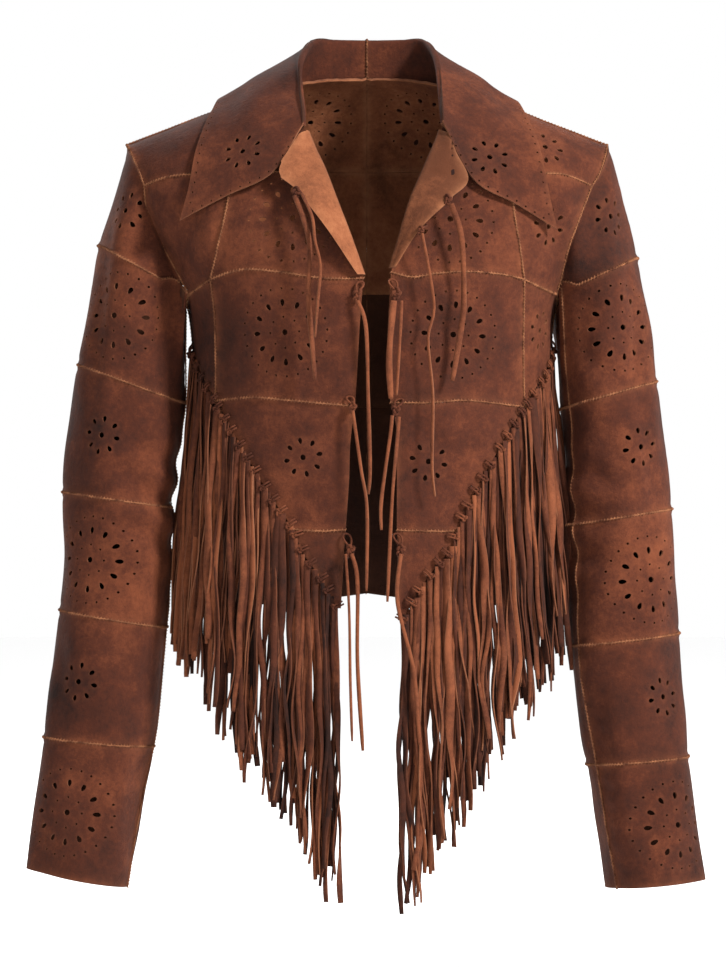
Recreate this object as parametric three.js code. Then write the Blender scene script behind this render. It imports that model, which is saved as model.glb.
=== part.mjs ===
// Fringed buckskin jacket, worn open, as a hollow garment in its pose.
// Millimetres, +Z up. The front faces -Y and the wearer's left is at +X.
// The origin is the middle of the neck opening, at the height of the shoulder seams' inner ends.
import * as THREE from "three";

// ---------------------------------------------------------------- driving dimensions
const LEATHER = 1.8;            // wall of every panel
const SEAM_GAP = 0.5;           // room between two panels that are sewn together
const LAP = 1.4;                // room between a piece and the panel that it lies over
const SHOULDER_RISE = 38.1;     // height of the shoulder line carried in to the middle
const SHOULDER_SLOPE = 0.3794;  // fall of the shoulder line per millimetre outwards
const NECK_ROUND = 25;          // radius that the shoulder line rounds with at the middle
const SHOULDER_TIP = 207;       // end of the shoulder seam, from the middle
const NECK_HALF = 72;           // inner end of the shoulder seam, from the middle
const SQUARENESS = 2.4;         // 2 is an ellipse in plan, more is squarer
const FRINGE_LENGTH = 258;      // strips, from the hem to their cut ends
const FRINGE_ROOM = 1.5;        // from the hem to the strips, outwards and down
const FRINGE_DEPTH = 7;         // the layers of strips together
const CAP_COLUMNS = 16;         // facets round a sleeve cap, and round the same part of the other pieces
const LEAF_ROOM = 5;            // from the body's form to the middle of the collar leaf
const STAND_ROOM = 2;           // from the body's form to the middle of the collar stand
const COLLAR_FOLD = 4;          // radius of the turn at the top of the collar

const BROWN = 0x703c24;
const PALE = 0xac6c44;
const STRIP = 0x7d4629;

// Body sections: half widths towards each side and depths to front and back.
const BODY = [
  { z: 60, right: 238, left: 240, front: 106, back: 104 },
  { z: -40, right: 223, left: 226, front: 112, back: 106 },
  { z: -80, right: 204, left: 207, front: 115, back: 107 },
  { z: -120, right: 184, left: 189, front: 117, back: 107 },
  { z: -155, right: 165, left: 173, front: 118, back: 106 },
  { z: -186, right: 153, left: 161, front: 118, back: 104 },
  { z: -230, right: 149, left: 158, front: 116, back: 99 },
  { z: -330, right: 147, left: 151, front: 109, back: 92 },
  { z: -450, right: 148, left: 150, front: 106, back: 97 },
];

// How far below the shoulder line the front and the back have rounded over.
const ROUNDING = { near: 70, far: 205, frontNear: 180, frontFar: 92, backNear: 112, backFar: 88 };

// Front seams of each side as rows of [distance from the middle, height].
const FRONT_SEAMS = {
  right: {
    neck: [[72, 9.2], [69, 4], [63, -8], [53.5, -30.6]],
    rollTop: [[53.5, -30.6], [46, -51], [37, -70]],
    rollLow: [[37, -70], [19, -117], [10, -142], [3, -161]],
    yokeIn: [[37, -70], [75, -70], [114, -70]],
    yokeOut: [[114, -70], [151, -71], [174, -74], [189, -79]],
    armTop: [[207, -41], [202, -50], [195, -65], [189, -79]],
    armLow: [[189, -79], [188, -92], [183, -110], [174, -130], [162, -152], [151, -172]],
    vertTop: [[114, -70], [119, -105], [127, -140], [132, -160]],
    vertLow: [[132, -160], [129, -190], [128, -230], [128, -263]],
    chestIn: [[3, -161], [36, -161], [76, -155], [105, -153], [132, -160]],
    chestOut: [[132, -160], [143, -167], [151, -172]],
    side: [[153, -186], [151, -202], [149.5, -219]],
    waist: [[10, -268], [40, -265.5], [76, -262], [100, -260.5], [128, -263]],
    third: [[18, -372], [40, -373], [62, -372]],
    edgeMid: [[3, -161], [6, -200], [8, -236], [10, -268]],
    edgeLow: [[10, -268], [14, -300], [15, -330], [18, -372]],
    edgeTip: [[18, -372], [20, -405], [22, -438]],
    hemSide: [[149.5, -219], [139, -244], [128, -263]],
    hemMid: [[128, -263], [111, -294], [87.5, -334], [62, -372]],
    hemTip: [[62, -372], [54, -392], [40, -411], [25.5, -438]],
  },
  left: {
    neck: [[72, 9.2], [70, 3], [68, -9], [64.6, -29]],
    rollTop: [[64.6, -29], [59, -46], [52, -63]],
    rollLow: [[52, -63], [37, -100], [26, -132], [20, -156]],
    yokeIn: [[52, -63], [85, -67], [121, -69]],
    yokeOut: [[121, -69], [147, -70], [168, -71], [191, -79]],
    armTop: [[207, -41], [204, -52], [198, -68], [191, -79]],
    armLow: [[191, -79], [186, -92], [179, -110], [172, -130], [167, -150], [161.5, -171]],
    vertTop: [[121, -69], [124, -105], [128, -130], [132.5, -160.5]],
    vertLow: [[132.5, -160.5], [132, -195], [132.5, -230], [133.5, -268]],
    chestIn: [[20, -156], [39, -160], [57, -157], [84, -155], [115, -157], [132.5, -160.5]],
    chestOut: [[132.5, -160.5], [148, -167], [161.5, -171]],
    side: [[161, -186], [159.5, -201], [158.5, -216]],
    waist: [[19.5, -265], [54, -265], [85, -263], [133.5, -268]],
    third: [[25, -372], [50, -373], [75, -373]],
    edgeMid: [[20, -156], [17.5, -200], [17, -228], [19.5, -265]],
    edgeLow: [[19.5, -265], [25, -290], [25, -330], [25, -372]],
    edgeTip: [[25, -372], [26, -410], [26, -448]],
    hemSide: [[158.5, -216], [153, -236], [133.5, -268]],
    hemMid: [[133.5, -268], [116, -296], [88, -346], [75, -373]],
    hemTip: [[75, -373], [70, -389], [52, -411], [38, -434], [30, -448]],
  },
};

// Front panels: their four edges, and the columns and rows of facets.
const FRONT_PANELS = [
  { name: "front_yoke", top: ["shoulder"], outer: ["armTop"], bottom: ["yokeIn", "yokeOut"],
    inner: ["neck", "rollTop"], columns: 8, rows: 6, rounded: true },
  { name: "upper_centre", top: ["yokeIn"], outer: ["vertTop"], bottom: ["chestIn"],
    inner: ["rollLow"], columns: 6, rows: 5 },
  { name: "upper_side", top: ["yokeOut"], outer: ["armLow"], bottom: ["chestOut"],
    inner: ["vertTop"], columns: 4, rows: 6 },
  { name: "mid_centre", top: ["chestIn"], outer: ["vertLow"], bottom: ["waist"],
    inner: ["edgeMid"], columns: 6, rows: 5 },
  { name: "mid_side", top: ["chestOut", "armBase"], outer: ["side"], bottom: ["hemSideBack"],
    inner: ["vertLow"], columns: 5, rows: 4 },
  { name: "low_centre", top: ["waist"], outer: ["hemMid"], bottom: ["third"],
    inner: ["edgeLow"], columns: 6, rows: 5 },
  { name: "tip", top: ["third"], outer: ["hemTip"], bottom: ["tipEnd"],
    inner: ["edgeTip"], columns: 4, rows: 5 },
];

// Back seams: [distance from the middle, height], the same on both sides.
const BACK_SEAMS = {
  neck: [[0.2, 20], [30, 18.5], [55, 14], [72, 9.2]],
  yoke: [[0.2, -58], [60, -58], [130, -60], [195, -66]],
  chest: [[0.2, -166], [60, -166], [120, -166], [154, -165]],
  waist: [[0.2, -266], [60, -265], [110, -264]],
  hem: [[0.2, -430], [30, -434], [70, -438], [110, -440]],
  armTop: [[207, -41], [202, -50], [195, -66]],
  armLow: [[195, -66], [189, -95], [179, -125], [154, -165]],
};

// Sleeve rings from the seam below the cap to the cuff: centre, half width seen from the front,
// half depth from front to back, and how far the ring's outer end tilts up, in degrees.
const SLEEVE_RINGS = {
  right: [
    { x: 193, y: 2, z: -149, half: 43.0, depth: 60, tilt: 29 },
    { x: 204, y: 0, z: -247, half: 47.5, depth: 57, tilt: 20 },
    { x: 214.6, y: -5, z: -347, half: 47.6, depth: 53, tilt: 8 },
    { x: 217.6, y: -12, z: -449, half: 48.0, depth: 50, tilt: 9 },
    { x: 231, y: -21, z: -554, half: 47.0, depth: 46, tilt: 5 },
    { x: 247.6, y: -32, z: -670, half: 41.5, depth: 42, tilt: 11 },
  ],
  left: [
    { x: 197, y: 2, z: -156, half: 42.0, depth: 60, tilt: 25 },
    { x: 208, y: 0, z: -257, half: 44.0, depth: 57, tilt: 16 },
    { x: 215.5, y: -5, z: -362, half: 46.0, depth: 53, tilt: 9 },
    { x: 221, y: -12, z: -467, half: 46.5, depth: 50, tilt: 6.5 },
    { x: 233, y: -21, z: -570, half: 45.5, depth: 46, tilt: 4.6 },
    { x: 246, y: -32, z: -675, half: 42.0, depth: 42, tilt: 5 },
  ],
};
const SLEEVE_PIECES = ["cap", "upper_arm", "above_elbow", "below_elbow", "forearm", "cuff"];
const CAP_REACH = 146;          // degrees each way from the top of the sleeve that the cap covers
const CAP_NARROWS = 118;        // degrees where its lower seam starts to close on the armhole
const CAP_CLOSED = 158;         // degrees where that seam has met the armhole
const UNDERARM_COLUMNS = [160, 180, 200];   // degrees of the other pieces' facets under the arm
const NORMAL_TURN = 6;          // degrees each way that a sleeve's direction is read over
const NORMAL_REACH = 0.08;      // levels each way that it is read over
const PAST_CAP_SEAM = 1.02;     // level just below the cap's lower seam
const UNDERARM_ROOM = 1.4;      // more room between sleeve and body under the arm

// Collar sections from the centre back to the lapel: neck seam, fold and leaf edge. The leaf edge
// is given in plan on the shoulders ("over": true), else by distance and height.
const COLLAR = {
  right: [
    { base: [0.3, 43, 22], fold: [0.3, 46, 53], mid: [0.3, 78, 8], edge: [0.3, 99, -60] },
    { base: [33, 38, 20], fold: [28, 42, 53], mid: [42, 74, 11], edge: [56, 96, -58] },
    { base: [57, 30, 16], fold: [47, 32, 52], mid: [76, 54, 20], edge: [104, 78, -38] },
    { base: [71, 8, 14], fold: [55, 4, 43], mid: [92, 6, 22], edge: [124, 14, -1] },
    { base: [70, -22, 8], fold: [59, -26, 27], mid: [95, -28, 7], edge: [133, -27, -16] },
    { base: [65, -46, -6], fold: [58, -50, 6], mid: [98, -61, -18], edge: [143, -61, -52] },
    { base: [58, -68, -22], fold: [55, -72, -14], mid: [94, -86, -48], edge: [151, -80, -86] },
    { base: [54.5, -80, -33], fold: [54, -85, -30], mid: [80, -103, -71], edge: [158, -86, -111] },
  ],
  left: [
    { base: [0.3, 43, 22], fold: [0.3, 46, 53], mid: [0.3, 78, 8], edge: [0.3, 99, -60] },
    { base: [34, 38, 20], fold: [30, 42, 53], mid: [43, 74, 11], edge: [56, 96, -58] },
    { base: [58, 30, 16], fold: [50, 32, 52], mid: [78, 54, 20], edge: [104, 78, -38] },
    { base: [72, 8, 14], fold: [59, 4, 42], mid: [94, 6, 22], edge: [125, 14, -2] },
    { base: [72, -22, 8], fold: [63, -26, 24], mid: [98, -28, 5], edge: [134, -27, -18] },
    { base: [69, -46, -6], fold: [64, -50, 4], mid: [102, -61, -20], edge: [144, -61, -56] },
    { base: [65, -67, -21], fold: [64, -71, -14], mid: [102, -85, -52], edge: [153, -79, -91] },
    { base: [64, -78, -31], fold: [64, -83, -28], mid: [90, -101, -77], edge: [161, -85, -118] },
  ],
};

// Lapels: the roll line and the free edge as [distance from the middle, height], and how far the
// free edge stands off the front.
const LAPELS = {
  right: {
    roll: [[51.5, -36.5], [46, -51], [37, -70], [19, -117], [4.5, -158]],
    free: [[56, -42], [64, -58], [72, -77], [58, -90], [33, -121], [8, -158]],
    stand: [5, 11, 12, 9, 3],
  },
  left: {
    roll: [[62.5, -35.5], [59, -46], [52, -63], [37, -100], [21, -152]],
    free: [[67.5, -42], [74, -60], [83, -83], [66, -100], [43, -122], [24, -151.5]],
    stand: [5, 11, 12, 9, 3],
  },
};

// Ties: each strand's width and its route as [x, distance in front of the front panels, z].
const TIES = [
  { name: "tie_right_lapel_wide", width: 4.2,
    route: [[-60.5, 17, -92], [-53, 17, -112], [-48, 14, -135],
      [-49, 12, -177], [-46, 12, -215], [-43.5, 12, -246]] },
  { name: "tie_right_lapel_thin", width: 2.4,
    route: [[-55, 18, -90], [-46, 19, -110], [-43.5, 20, -130],
      [-39, 18, -151], [-41, 18, -180], [-43.5, 18, -211]] },
  { name: "tie_right_chest", width: 3.0,
    route: [[-8, 7, -180], [-1, 8, -202], [1, 8, -262], [2.5, 8, -321], [1, 8, -342]] },
  { name: "tie_right_waist", width: 2.6,
    route: [[-12, 7, -272], [-5, 14, -321], [0, 14, -355], [-0.5, 14, -423]] },
  { name: "tie_right_hem_wide", width: 3.2,
    route: [[-13, 8, -392], [-8, 10, -415], [-8, 10, -483], [-3.5, 10, -557]] },
  { name: "tie_right_hem_thin", width: 2.2,
    route: [[-18, 9, -392], [-15, 11, -440], [-14, 11, -500], [-12.5, 11, -549]] },
  { name: "tie_left_lapel_wide", width: 4.6,
    route: [[70.5, 18, -99], [79, 17, -128], [81, 13, -177], [79, 12, -202], [71.5, 12, -247]] },
  { name: "tie_left_lapel_thin", width: 2.4,
    route: [[46, 18, -124], [56, 13, -183], [51, 12, -212],
      [55, 12, -259], [54.5, 12, -319], [57, 12, -344]] },
  { name: "tie_left_chest_wide", width: 5.0,
    route: [[22.5, 8, -180], [20, 9, -205], [18.5, 9, -232], [20, 9, -262]] },
  { name: "tie_left_chest_thin", width: 2.4,
    route: [[29, 8, -180], [28, 9, -205], [26, 9, -236], [24.6, 9.5, -259]] },
  { name: "tie_left_waist_in", width: 2.8,
    route: [[21, 8, -276], [19.5, 9, -292], [12, 10, -347], [12, 10, -372]] },
  { name: "tie_left_waist_out", width: 2.8,
    route: [[27, 8, -277], [25, 9, -300], [21, 12, -347], [17, 16, -432]] },
  { name: "tie_left_hem", width: 3.2,
    route: [[28.5, 8, -392], [25.5, 10, -432], [39, 11, -490], [44, 11, -552]] },
];

const SIDES = [{ name: "right", sign: -1 }, { name: "left", sign: 1 }];

// ---------------------------------------------------------------- numbers and curves
function clamp(value, low, high) {
  return Math.min(high, Math.max(low, value));
}

function smoothStep(value, start, end) {
  const t = clamp((value - start) / (end - start), 0, 1);
  return t * t * (3 - 2 * t);
}

// Reads a column of a table of rows, smoothly between its rows.
function tableValue(rows, key, column, at) {
  const rising = rows[0][key] < rows[rows.length - 1][key] ? rows : [...rows].reverse();
  const where = clamp(at, rising[0][key], rising[rising.length - 1][key]);
  let k = 0;
  while (k < rising.length - 2 && where > rising[k + 1][key]) {
    k += 1;
  }
  const slope = (i) => {
    const before = rising[Math.max(0, i - 1)];
    const after = rising[Math.min(rising.length - 1, i + 1)];
    return (after[column] - before[column]) / (after[key] - before[key]);
  };
  const span = rising[k + 1][key] - rising[k][key];
  const t = (where - rising[k][key]) / span;
  const start = rising[k][column];
  const end = rising[k + 1][column];
  const early = slope(k) * span - (end - start);
  const late = slope(k + 1) * span - (end - start);
  const bend = t * (1 - t) * ((1 - t) * early - t * late);
  return THREE.MathUtils.lerp(start, end, t) + bend;
}

function flatCurve(points) {
  return new THREE.SplineCurve(points.map((p) => new THREE.Vector2(p[0], p[1])));
}

// Several seams end to end, read by the share of their joint length.
function joined(seams) {
  const curves = seams.map((points) => flatCurve(points));
  const lengths = curves.map((curve) => curve.getLength());
  const total = lengths.reduce((sum, length) => sum + length, 0);
  return (t) => {
    let left = clamp(t, 0, 1) * total;
    let k = 0;
    while (k < curves.length - 1 && left > lengths[k]) {
      left -= lengths[k];
      k += 1;
    }
    return curves[k].getPointAt(clamp(left / lengths[k], 0, 1));
  };
}

// ---------------------------------------------------------------- the body's form
function shoulderHeight(x) {
  return SHOULDER_RISE - SHOULDER_SLOPE * Math.hypot(x, NECK_ROUND);
}

function halfWidth(x, z) {
  return tableValue(BODY, "z", x < 0 ? "right" : "left", z);
}

function depthAt(x, z, face) {
  const share = clamp((Math.abs(x) - ROUNDING.near) / (ROUNDING.far - ROUNDING.near), 0, 1);
  const rounding = face < 0
    ? THREE.MathUtils.lerp(ROUNDING.frontNear, ROUNDING.frontFar, share)
    : THREE.MathUtils.lerp(ROUNDING.backNear, ROUNDING.backFar, share);
  const drop = clamp(1 - (shoulderHeight(x) - z) / rounding, 0, 1);
  const full = tableValue(BODY, "z", face < 0 ? "front" : "back", z);
  return { full, squared: 1 - drop * drop };
}

// Height of the form over a point in plan: zero on the form, negative inside it.
function outside(x, y, z) {
  const face = y < 0 ? -1 : 1;
  const { full, squared } = depthAt(x, z, face);
  const across = 1 - (Math.abs(x) / halfWidth(x, z)) ** SQUARENESS;
  return (y / full) ** 2 - squared * Math.sign(across) * Math.abs(across) ** (2 / SQUARENESS);
}

function bodyNormal(p) {
  const step = 0.2;
  const slope = (dx, dy, dz) => outside(p.x + dx, p.y + dy, p.z + dz) - outside(p.x - dx, p.y - dy, p.z - dz);
  return new THREE.Vector3(slope(step, 0, 0), slope(0, step, 0), slope(0, 0, step)).normalize();
}

// A point of the form by its angle from the middle (0) to the side (90 degrees) and its height.
function bodyPoint(sign, face, angle, z) {
  const wide = tableValue(BODY, "z", sign < 0 ? "right" : "left", z);
  const x = sign * wide * Math.sin(angle) ** (2 / SQUARENESS);
  const { full, squared } = depthAt(x, z, face);
  const y = face * full * Math.sqrt(squared) * Math.max(0, Math.cos(angle)) ** (2 / SQUARENESS);
  return new THREE.Vector3(x, y, z);
}

function angleOf(sign, out, z) {
  const wide = tableValue(BODY, "z", sign < 0 ? "right" : "left", z);
  return Math.asin(clamp(out / wide, 0, 1) ** (SQUARENESS / 2));
}

function onFront(x, z) {
  const sign = x < 0 ? -1 : 1;
  return bodyPoint(sign, -1, angleOf(sign, Math.abs(x), z), z);
}

// ---------------------------------------------------------------- walls
// Closes two grids of points, outer and inner, into one body whose faces point out.
function wallGeometry(outer, inner, ring) {
  const rows = outer.length;
  const columns = outer[0].length;
  const positions = [];
  [outer, inner].forEach((grid) => grid.forEach((row) => row.forEach((p) => positions.push(p.x, p.y, p.z))));
  const at = (layer, r, c) => (layer * rows + r) * columns + (c % columns);
  const faces = [];
  const quad = (a, b, c, d) => faces.push(a, b, c, a, c, d);
  const across = ring ? columns : columns - 1;
  for (let r = 0; r < rows - 1; r += 1) {
    for (let c = 0; c < across; c += 1) {
      quad(at(0, r, c), at(0, r, c + 1), at(0, r + 1, c + 1), at(0, r + 1, c));
      quad(at(1, r, c), at(1, r + 1, c), at(1, r + 1, c + 1), at(1, r, c + 1));
    }
  }
  for (let c = 0; c < across; c += 1) {
    quad(at(0, 0, c), at(1, 0, c), at(1, 0, c + 1), at(0, 0, c + 1));
    quad(at(0, rows - 1, c), at(0, rows - 1, c + 1), at(1, rows - 1, c + 1), at(1, rows - 1, c));
  }
  for (let r = 0; r < rows - 1 && !ring; r += 1) {
    quad(at(0, r, 0), at(0, r + 1, 0), at(1, r + 1, 0), at(1, r, 0));
    const last = columns - 1;
    quad(at(0, r, last), at(1, r, last), at(1, r + 1, last), at(0, r + 1, last));
  }
  return closedGeometry(positions, faces);
}

function closedGeometry(positions, faces) {
  const corner = (k) => new THREE.Vector3().fromArray(positions, 3 * k);
  let volume = 0;
  for (let k = 0; k < faces.length; k += 3) {
    volume += corner(faces[k]).dot(corner(faces[k + 1]).cross(corner(faces[k + 2])));
  }
  if (volume < 0) {
    faces.reverse();
  }
  const geometry = new THREE.BufferGeometry();
  geometry.setAttribute("position", new THREE.Float32BufferAttribute(positions, 3));
  geometry.setIndex(faces);
  geometry.computeVertexNormals();
  return geometry;
}

function wallInwards(grid, normalOf) {
  return grid.map((row) => row.map((p) => p.clone().addScaledVector(normalOf(p), -LEATHER)));
}

const jacket = new THREE.Group();

function addPiece(name, geometry, color) {
  const material = new THREE.MeshStandardMaterial({ color, roughness: 0.92, metalness: 0 });
  const mesh = new THREE.Mesh(geometry, material);
  mesh.name = name;
  jacket.add(mesh);
}

// ---------------------------------------------------------------- body panels
// A patch of the body between four seams, each read from its first to its last point.
function panelGrid(side, face, edges, columns, rows, rounded) {
  // Panels that meet at the shoulder are laid out by their drop below it, the rest by their angle.
  const toPlane = (point) => (rounded
    ? new THREE.Vector2(point.x, shoulderHeight(point.x) - point.y)
    : new THREE.Vector2(angleOf(side.sign, point.x, point.y), point.y));
  const toBody = (p) => {
    if (!rounded) {
      return bodyPoint(side.sign, face, clamp(p.x, 0, Math.PI / 2), p.y);
    }
    const z = shoulderHeight(p.x) - Math.max(0, p.y);
    return bodyPoint(side.sign, face, angleOf(side.sign, p.x, z), z);
  };
  const inset = SEAM_GAP / 2;
  const corners = [edges.inner(0), edges.outer(0), edges.inner(1), edges.outer(1)];
  const wide = Math.max(corners[0].distanceTo(corners[1]), corners[2].distanceTo(corners[3]), 12);
  const tall = Math.max(corners[0].distanceTo(corners[2]), corners[1].distanceTo(corners[3]), 12);
  const [a, b, c, d] = corners.map(toPlane);
  const grid = [];
  for (let r = 0; r <= rows; r += 1) {
    const even = inset / tall + (1 - 2 * inset / tall) * (r / rows);
    const v = rounded ? even * even : even;
    const row = [];
    for (let k = 0; k <= columns; k += 1) {
      const u = inset / wide + (1 - 2 * inset / wide) * (k / columns);
      const p = new THREE.Vector2();
      p.addScaledVector(toPlane(edges.inner(v)), 1 - u).addScaledVector(toPlane(edges.outer(v)), u);
      p.addScaledVector(toPlane(edges.top(u)), 1 - v).addScaledVector(toPlane(edges.bottom(u)), v);
      p.addScaledVector(a, -(1 - u) * (1 - v)).addScaledVector(b, -u * (1 - v));
      p.addScaledVector(c, -(1 - u) * v).addScaledVector(d, -u * v);
      row.push(toBody(p));
    }
    grid.push(row);
  }
  return grid;
}

function shoulderSeam() {
  const stops = [0, 0.15, 0.35, 0.6, 0.8, 1];
  return stops.map((t) => {
    const out = THREE.MathUtils.lerp(NECK_HALF, SHOULDER_TIP, t);
    return [out, shoulderHeight(out)];
  });
}

// The armhole's last stretch under the arm, from the chest seam to the side.
function armBase(side, start) {
  const bottom = FRONT_SEAMS[side.name].side[0];
  return [start, [(start[0] + bottom[0]) / 2 + 2.2, (start[1] + bottom[1]) / 2], bottom];
}

function frontSeams(side) {
  const seams = { ...FRONT_SEAMS[side.name] };
  seams.shoulder = shoulderSeam();
  seams.armBase = armBase(side, seams.chestOut[seams.chestOut.length - 1]);
  seams.hemSideBack = [...seams.hemSide].reverse();
  seams.tipEnd = [seams.edgeTip[seams.edgeTip.length - 1], seams.hemTip[seams.hemTip.length - 1]];
  return seams;
}

function backSeams(side) {
  const seams = { ...BACK_SEAMS };
  const sideTop = FRONT_SEAMS[side.name].side[0];
  const middle = (from, to) => [BACK_SEAMS[from][0], BACK_SEAMS[to][0]];
  const last = (name) => BACK_SEAMS[name][BACK_SEAMS[name].length - 1];
  const wideAt = (z) => tableValue(BODY, "z", side.name, z);
  seams.shoulderFromTip = shoulderSeam();
  seams.neckBack = BACK_SEAMS.neck;
  seams.middleYoke = middle("neck", "yoke");
  seams.middleUpper = middle("yoke", "chest");
  seams.middleMid = middle("chest", "waist");
  seams.middleLow = middle("waist", "hem");
  seams.armBase = armBase(side, last("chest"));
  seams.waistOut = [...BACK_SEAMS.waist, [wideAt(-264), -264]];
  seams.hemOut = [...BACK_SEAMS.hem, [wideAt(-438), -438]];
  seams.sideMid = [sideTop, [wideAt(-225), -225], [wideAt(-264), -264]];
  seams.sideLow = [[wideAt(-264), -264], [wideAt(-350), -350], [wideAt(-438), -438]];
  return seams;
}

const BACK_PANELS = [
  { name: "back_yoke", top: ["neckBack", "shoulderFromTip"], outer: ["armTop"], bottom: ["yoke"],
    inner: ["middleYoke"], columns: 11, rows: 6, rounded: true },
  { name: "back_upper", top: ["yoke"], outer: ["armLow"], bottom: ["chest"],
    inner: ["middleUpper"], columns: 9, rows: 5 },
  { name: "back_mid", top: ["chest", "armBase"], outer: ["sideMid"], bottom: ["waistOut"],
    inner: ["middleMid"], columns: 10, rows: 4 },
  { name: "back_low", top: ["waistOut"], outer: ["sideLow"], bottom: ["hemOut"],
    inner: ["middleLow"], columns: 9, rows: 5 },
];

function addBodyPanels(side, face, seams, panels) {
  panels.forEach((panel) => {
    const edges = {};
    ["top", "outer", "bottom", "inner"].forEach((edge) => {
      edges[edge] = joined(panel[edge].map((name) => seams[name]));
    });
    const outer = panelGrid(side, face, edges, panel.columns, panel.rows, panel.rounded);
    const name = `${side.name}_${panel.name}`;
    addPiece(name, wallGeometry(outer, wallInwards(outer, bodyNormal), false), BROWN);
  });
}

// ---------------------------------------------------------------- sleeves
// The armhole as a closed loop: 0 is the shoulder tip, 180 the underarm, 90 the front.
function armholeLoop(side) {
  const front = frontSeams(side);
  const back = backSeams(side);
  const frontCurve = joined([front.armTop, front.armLow, front.armBase]);
  const backCurve = joined([back.armTop, back.armLow, back.armBase]);
  return (degrees) => {
    const turn = ((degrees % 360) + 360) % 360;
    const isFront = turn <= 180;
    const share = isFront ? turn / 180 : (360 - turn) / 180;
    const flat = (isFront ? frontCurve : backCurve)(share);
    return bodyPoint(side.sign, isFront ? -1 : 1, angleOf(side.sign, flat.x, flat.y), flat.y);
  };
}

// Degrees from the top of the sleeve, either way round, from 0 to 180.
function fromTop(degrees) {
  return Math.abs((((degrees + 180) % 360) + 360) % 360 - 180);
}

function ringPoint(side, ring, degrees) {
  const turn = THREE.MathUtils.degToRad(degrees);
  const tilt = THREE.MathUtils.degToRad(ring.tilt);
  const across = Math.cos(turn) * ring.half;
  const x = side.sign * (ring.x + across * Math.cos(tilt));
  const y = ring.y - Math.sin(turn) * ring.depth;
  const z = ring.z + across * Math.sin(tilt);
  return new THREE.Vector3(x, y, z);
}

// The sleeve's surface: level 0 is the armhole, 1 the seam under the cap, 6 the cuff.
function sleeveSurface(side) {
  const loop = armholeLoop(side);
  const rings = SLEEVE_RINGS[side.name];
  const centre = loop(0).add(loop(180)).multiplyScalar(0.5);
  const level = (k, degrees) => {
    if (k === 0) {
      const p = loop(degrees);
      p.x += side.sign * (SEAM_GAP + UNDERARM_ROOM * smoothStep(fromTop(degrees), 90, 160));
      return p.lerp(centre, 0.004);
    }
    const ring = ringPoint(side, rings[k - 1], degrees);
    if (k > 1) {
      return ring;
    }
    const under = (fromTop(degrees) - CAP_NARROWS) / (CAP_CLOSED - CAP_NARROWS);
    return ring.lerp(level(0, degrees), clamp(under, 0, 1));
  };
  return (degrees, at) => {
    const k = clamp(Math.floor(at), 0, 5);
    const t = at - k;
    const p1 = level(k, degrees);
    const p2 = level(k + 1, degrees);
    const p0 = k > 1 ? level(k - 1, degrees) : p1.clone().multiplyScalar(2).sub(p2);
    const p3 = k < 5 && k > 0 ? level(k + 2, degrees) : p2.clone().multiplyScalar(2).sub(p1);
    const curve = new THREE.CatmullRomCurve3([p0, p1, p2, p3], false, "catmullrom", 0.5);
    return curve.getPoint((1 + t) / 3);
  };
}

// The sleeve's own direction outwards at a point.
function sleeveNormal(surface, degrees, at) {
  const around = surface(degrees + NORMAL_TURN, at).sub(surface(degrees - NORMAL_TURN, at));
  const low = clamp(at - NORMAL_REACH, 0, 6);
  const high = clamp(at + NORMAL_REACH, 0, 6);
  const along = surface(degrees, high).sub(surface(degrees, low));
  const out = around.cross(along).normalize();
  const p = surface(degrees, at);
  const middle = surface(degrees + 180, at).add(p).multiplyScalar(0.5);
  if (out.dot(p.clone().sub(middle)) < 0) {
    out.negate();
  }
  return out;
}

// The direction a sleeve's wall is thickened in. At the armhole it turns to the body's own normal,
// but only where the two agree. Under the arm they face each other, and the sleeve keeps its own.
// Where the cap runs out to a point, its rows share the direction of its lower seam.
function sleeveWallNormal(surface, degrees, at) {
  const pointed = smoothStep(fromTop(degrees), 100, CAP_REACH - 8);
  const readAt = at < 1 ? THREE.MathUtils.lerp(at, PAST_CAP_SEAM, pointed) : at;
  const out = sleeveNormal(surface, degrees, readAt);
  if (at >= 1) {
    return out;
  }
  const body = bodyNormal(surface(degrees, at));
  const agree = smoothStep(body.dot(out), 0.2, 0.8);
  return out.lerp(body, agree * (1 - smoothStep(at, 0, 0.6))).normalize();
}

function sleeveWall(surface, degreeList, levels, ring) {
  const outer = levels.map((at) => degreeList.map((degrees) => surface(degrees, at)));
  const inner = levels.map((at, r) => degreeList.map((degrees, c) => (
    outer[r][c].clone().addScaledVector(sleeveWallNormal(surface, degrees, at), -LEATHER))));
  return wallGeometry(outer, inner, ring);
}

function addSleeve(side) {
  const surface = sleeveSurface(side);
  SLEEVE_PIECES.forEach((piece, k) => {
    const isCap = k === 0;
    const gap = isCap ? 0.006 : SEAM_GAP / 2 / 103;
    const rows = 3;
    const levels = [];
    for (let r = 0; r <= rows; r += 1) {
      levels.push(k + gap + (1 - 2 * gap) * (r / rows));
    }
    const degreeList = [];
    for (let c = 0; c <= CAP_COLUMNS; c += 1) {
      degreeList.push(CAP_REACH * ((2 * c) / CAP_COLUMNS - 1));
    }
    if (!isCap) {
      degreeList.push(...UNDERARM_COLUMNS);
    }
    const name = `${side.name}_sleeve_${k + 1}_${piece}`;
    addPiece(name, sleeveWall(surface, degreeList, levels, !isCap), BROWN);
  });
}

// ---------------------------------------------------------------- collar and lapels
// Moves a point out until the collar's leaf lies clear over the panels.
function clearOfBody(p, wanted) {
  const lifted = p.clone();
  const step = 0.2;
  for (let k = 0; k < 12; k += 1) {
    const normal = bodyNormal(lifted);
    const further = lifted.clone().addScaledVector(normal, step);
    const here = outside(lifted.x, lifted.y, lifted.z);
    const rate = (outside(further.x, further.y, further.z) - here) / step;
    const room = here / rate;
    if (room < wanted) {
      lifted.addScaledVector(normal, Math.min(wanted - room, LEAF_ROOM));
    }
  }
  return lifted;
}

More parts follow.
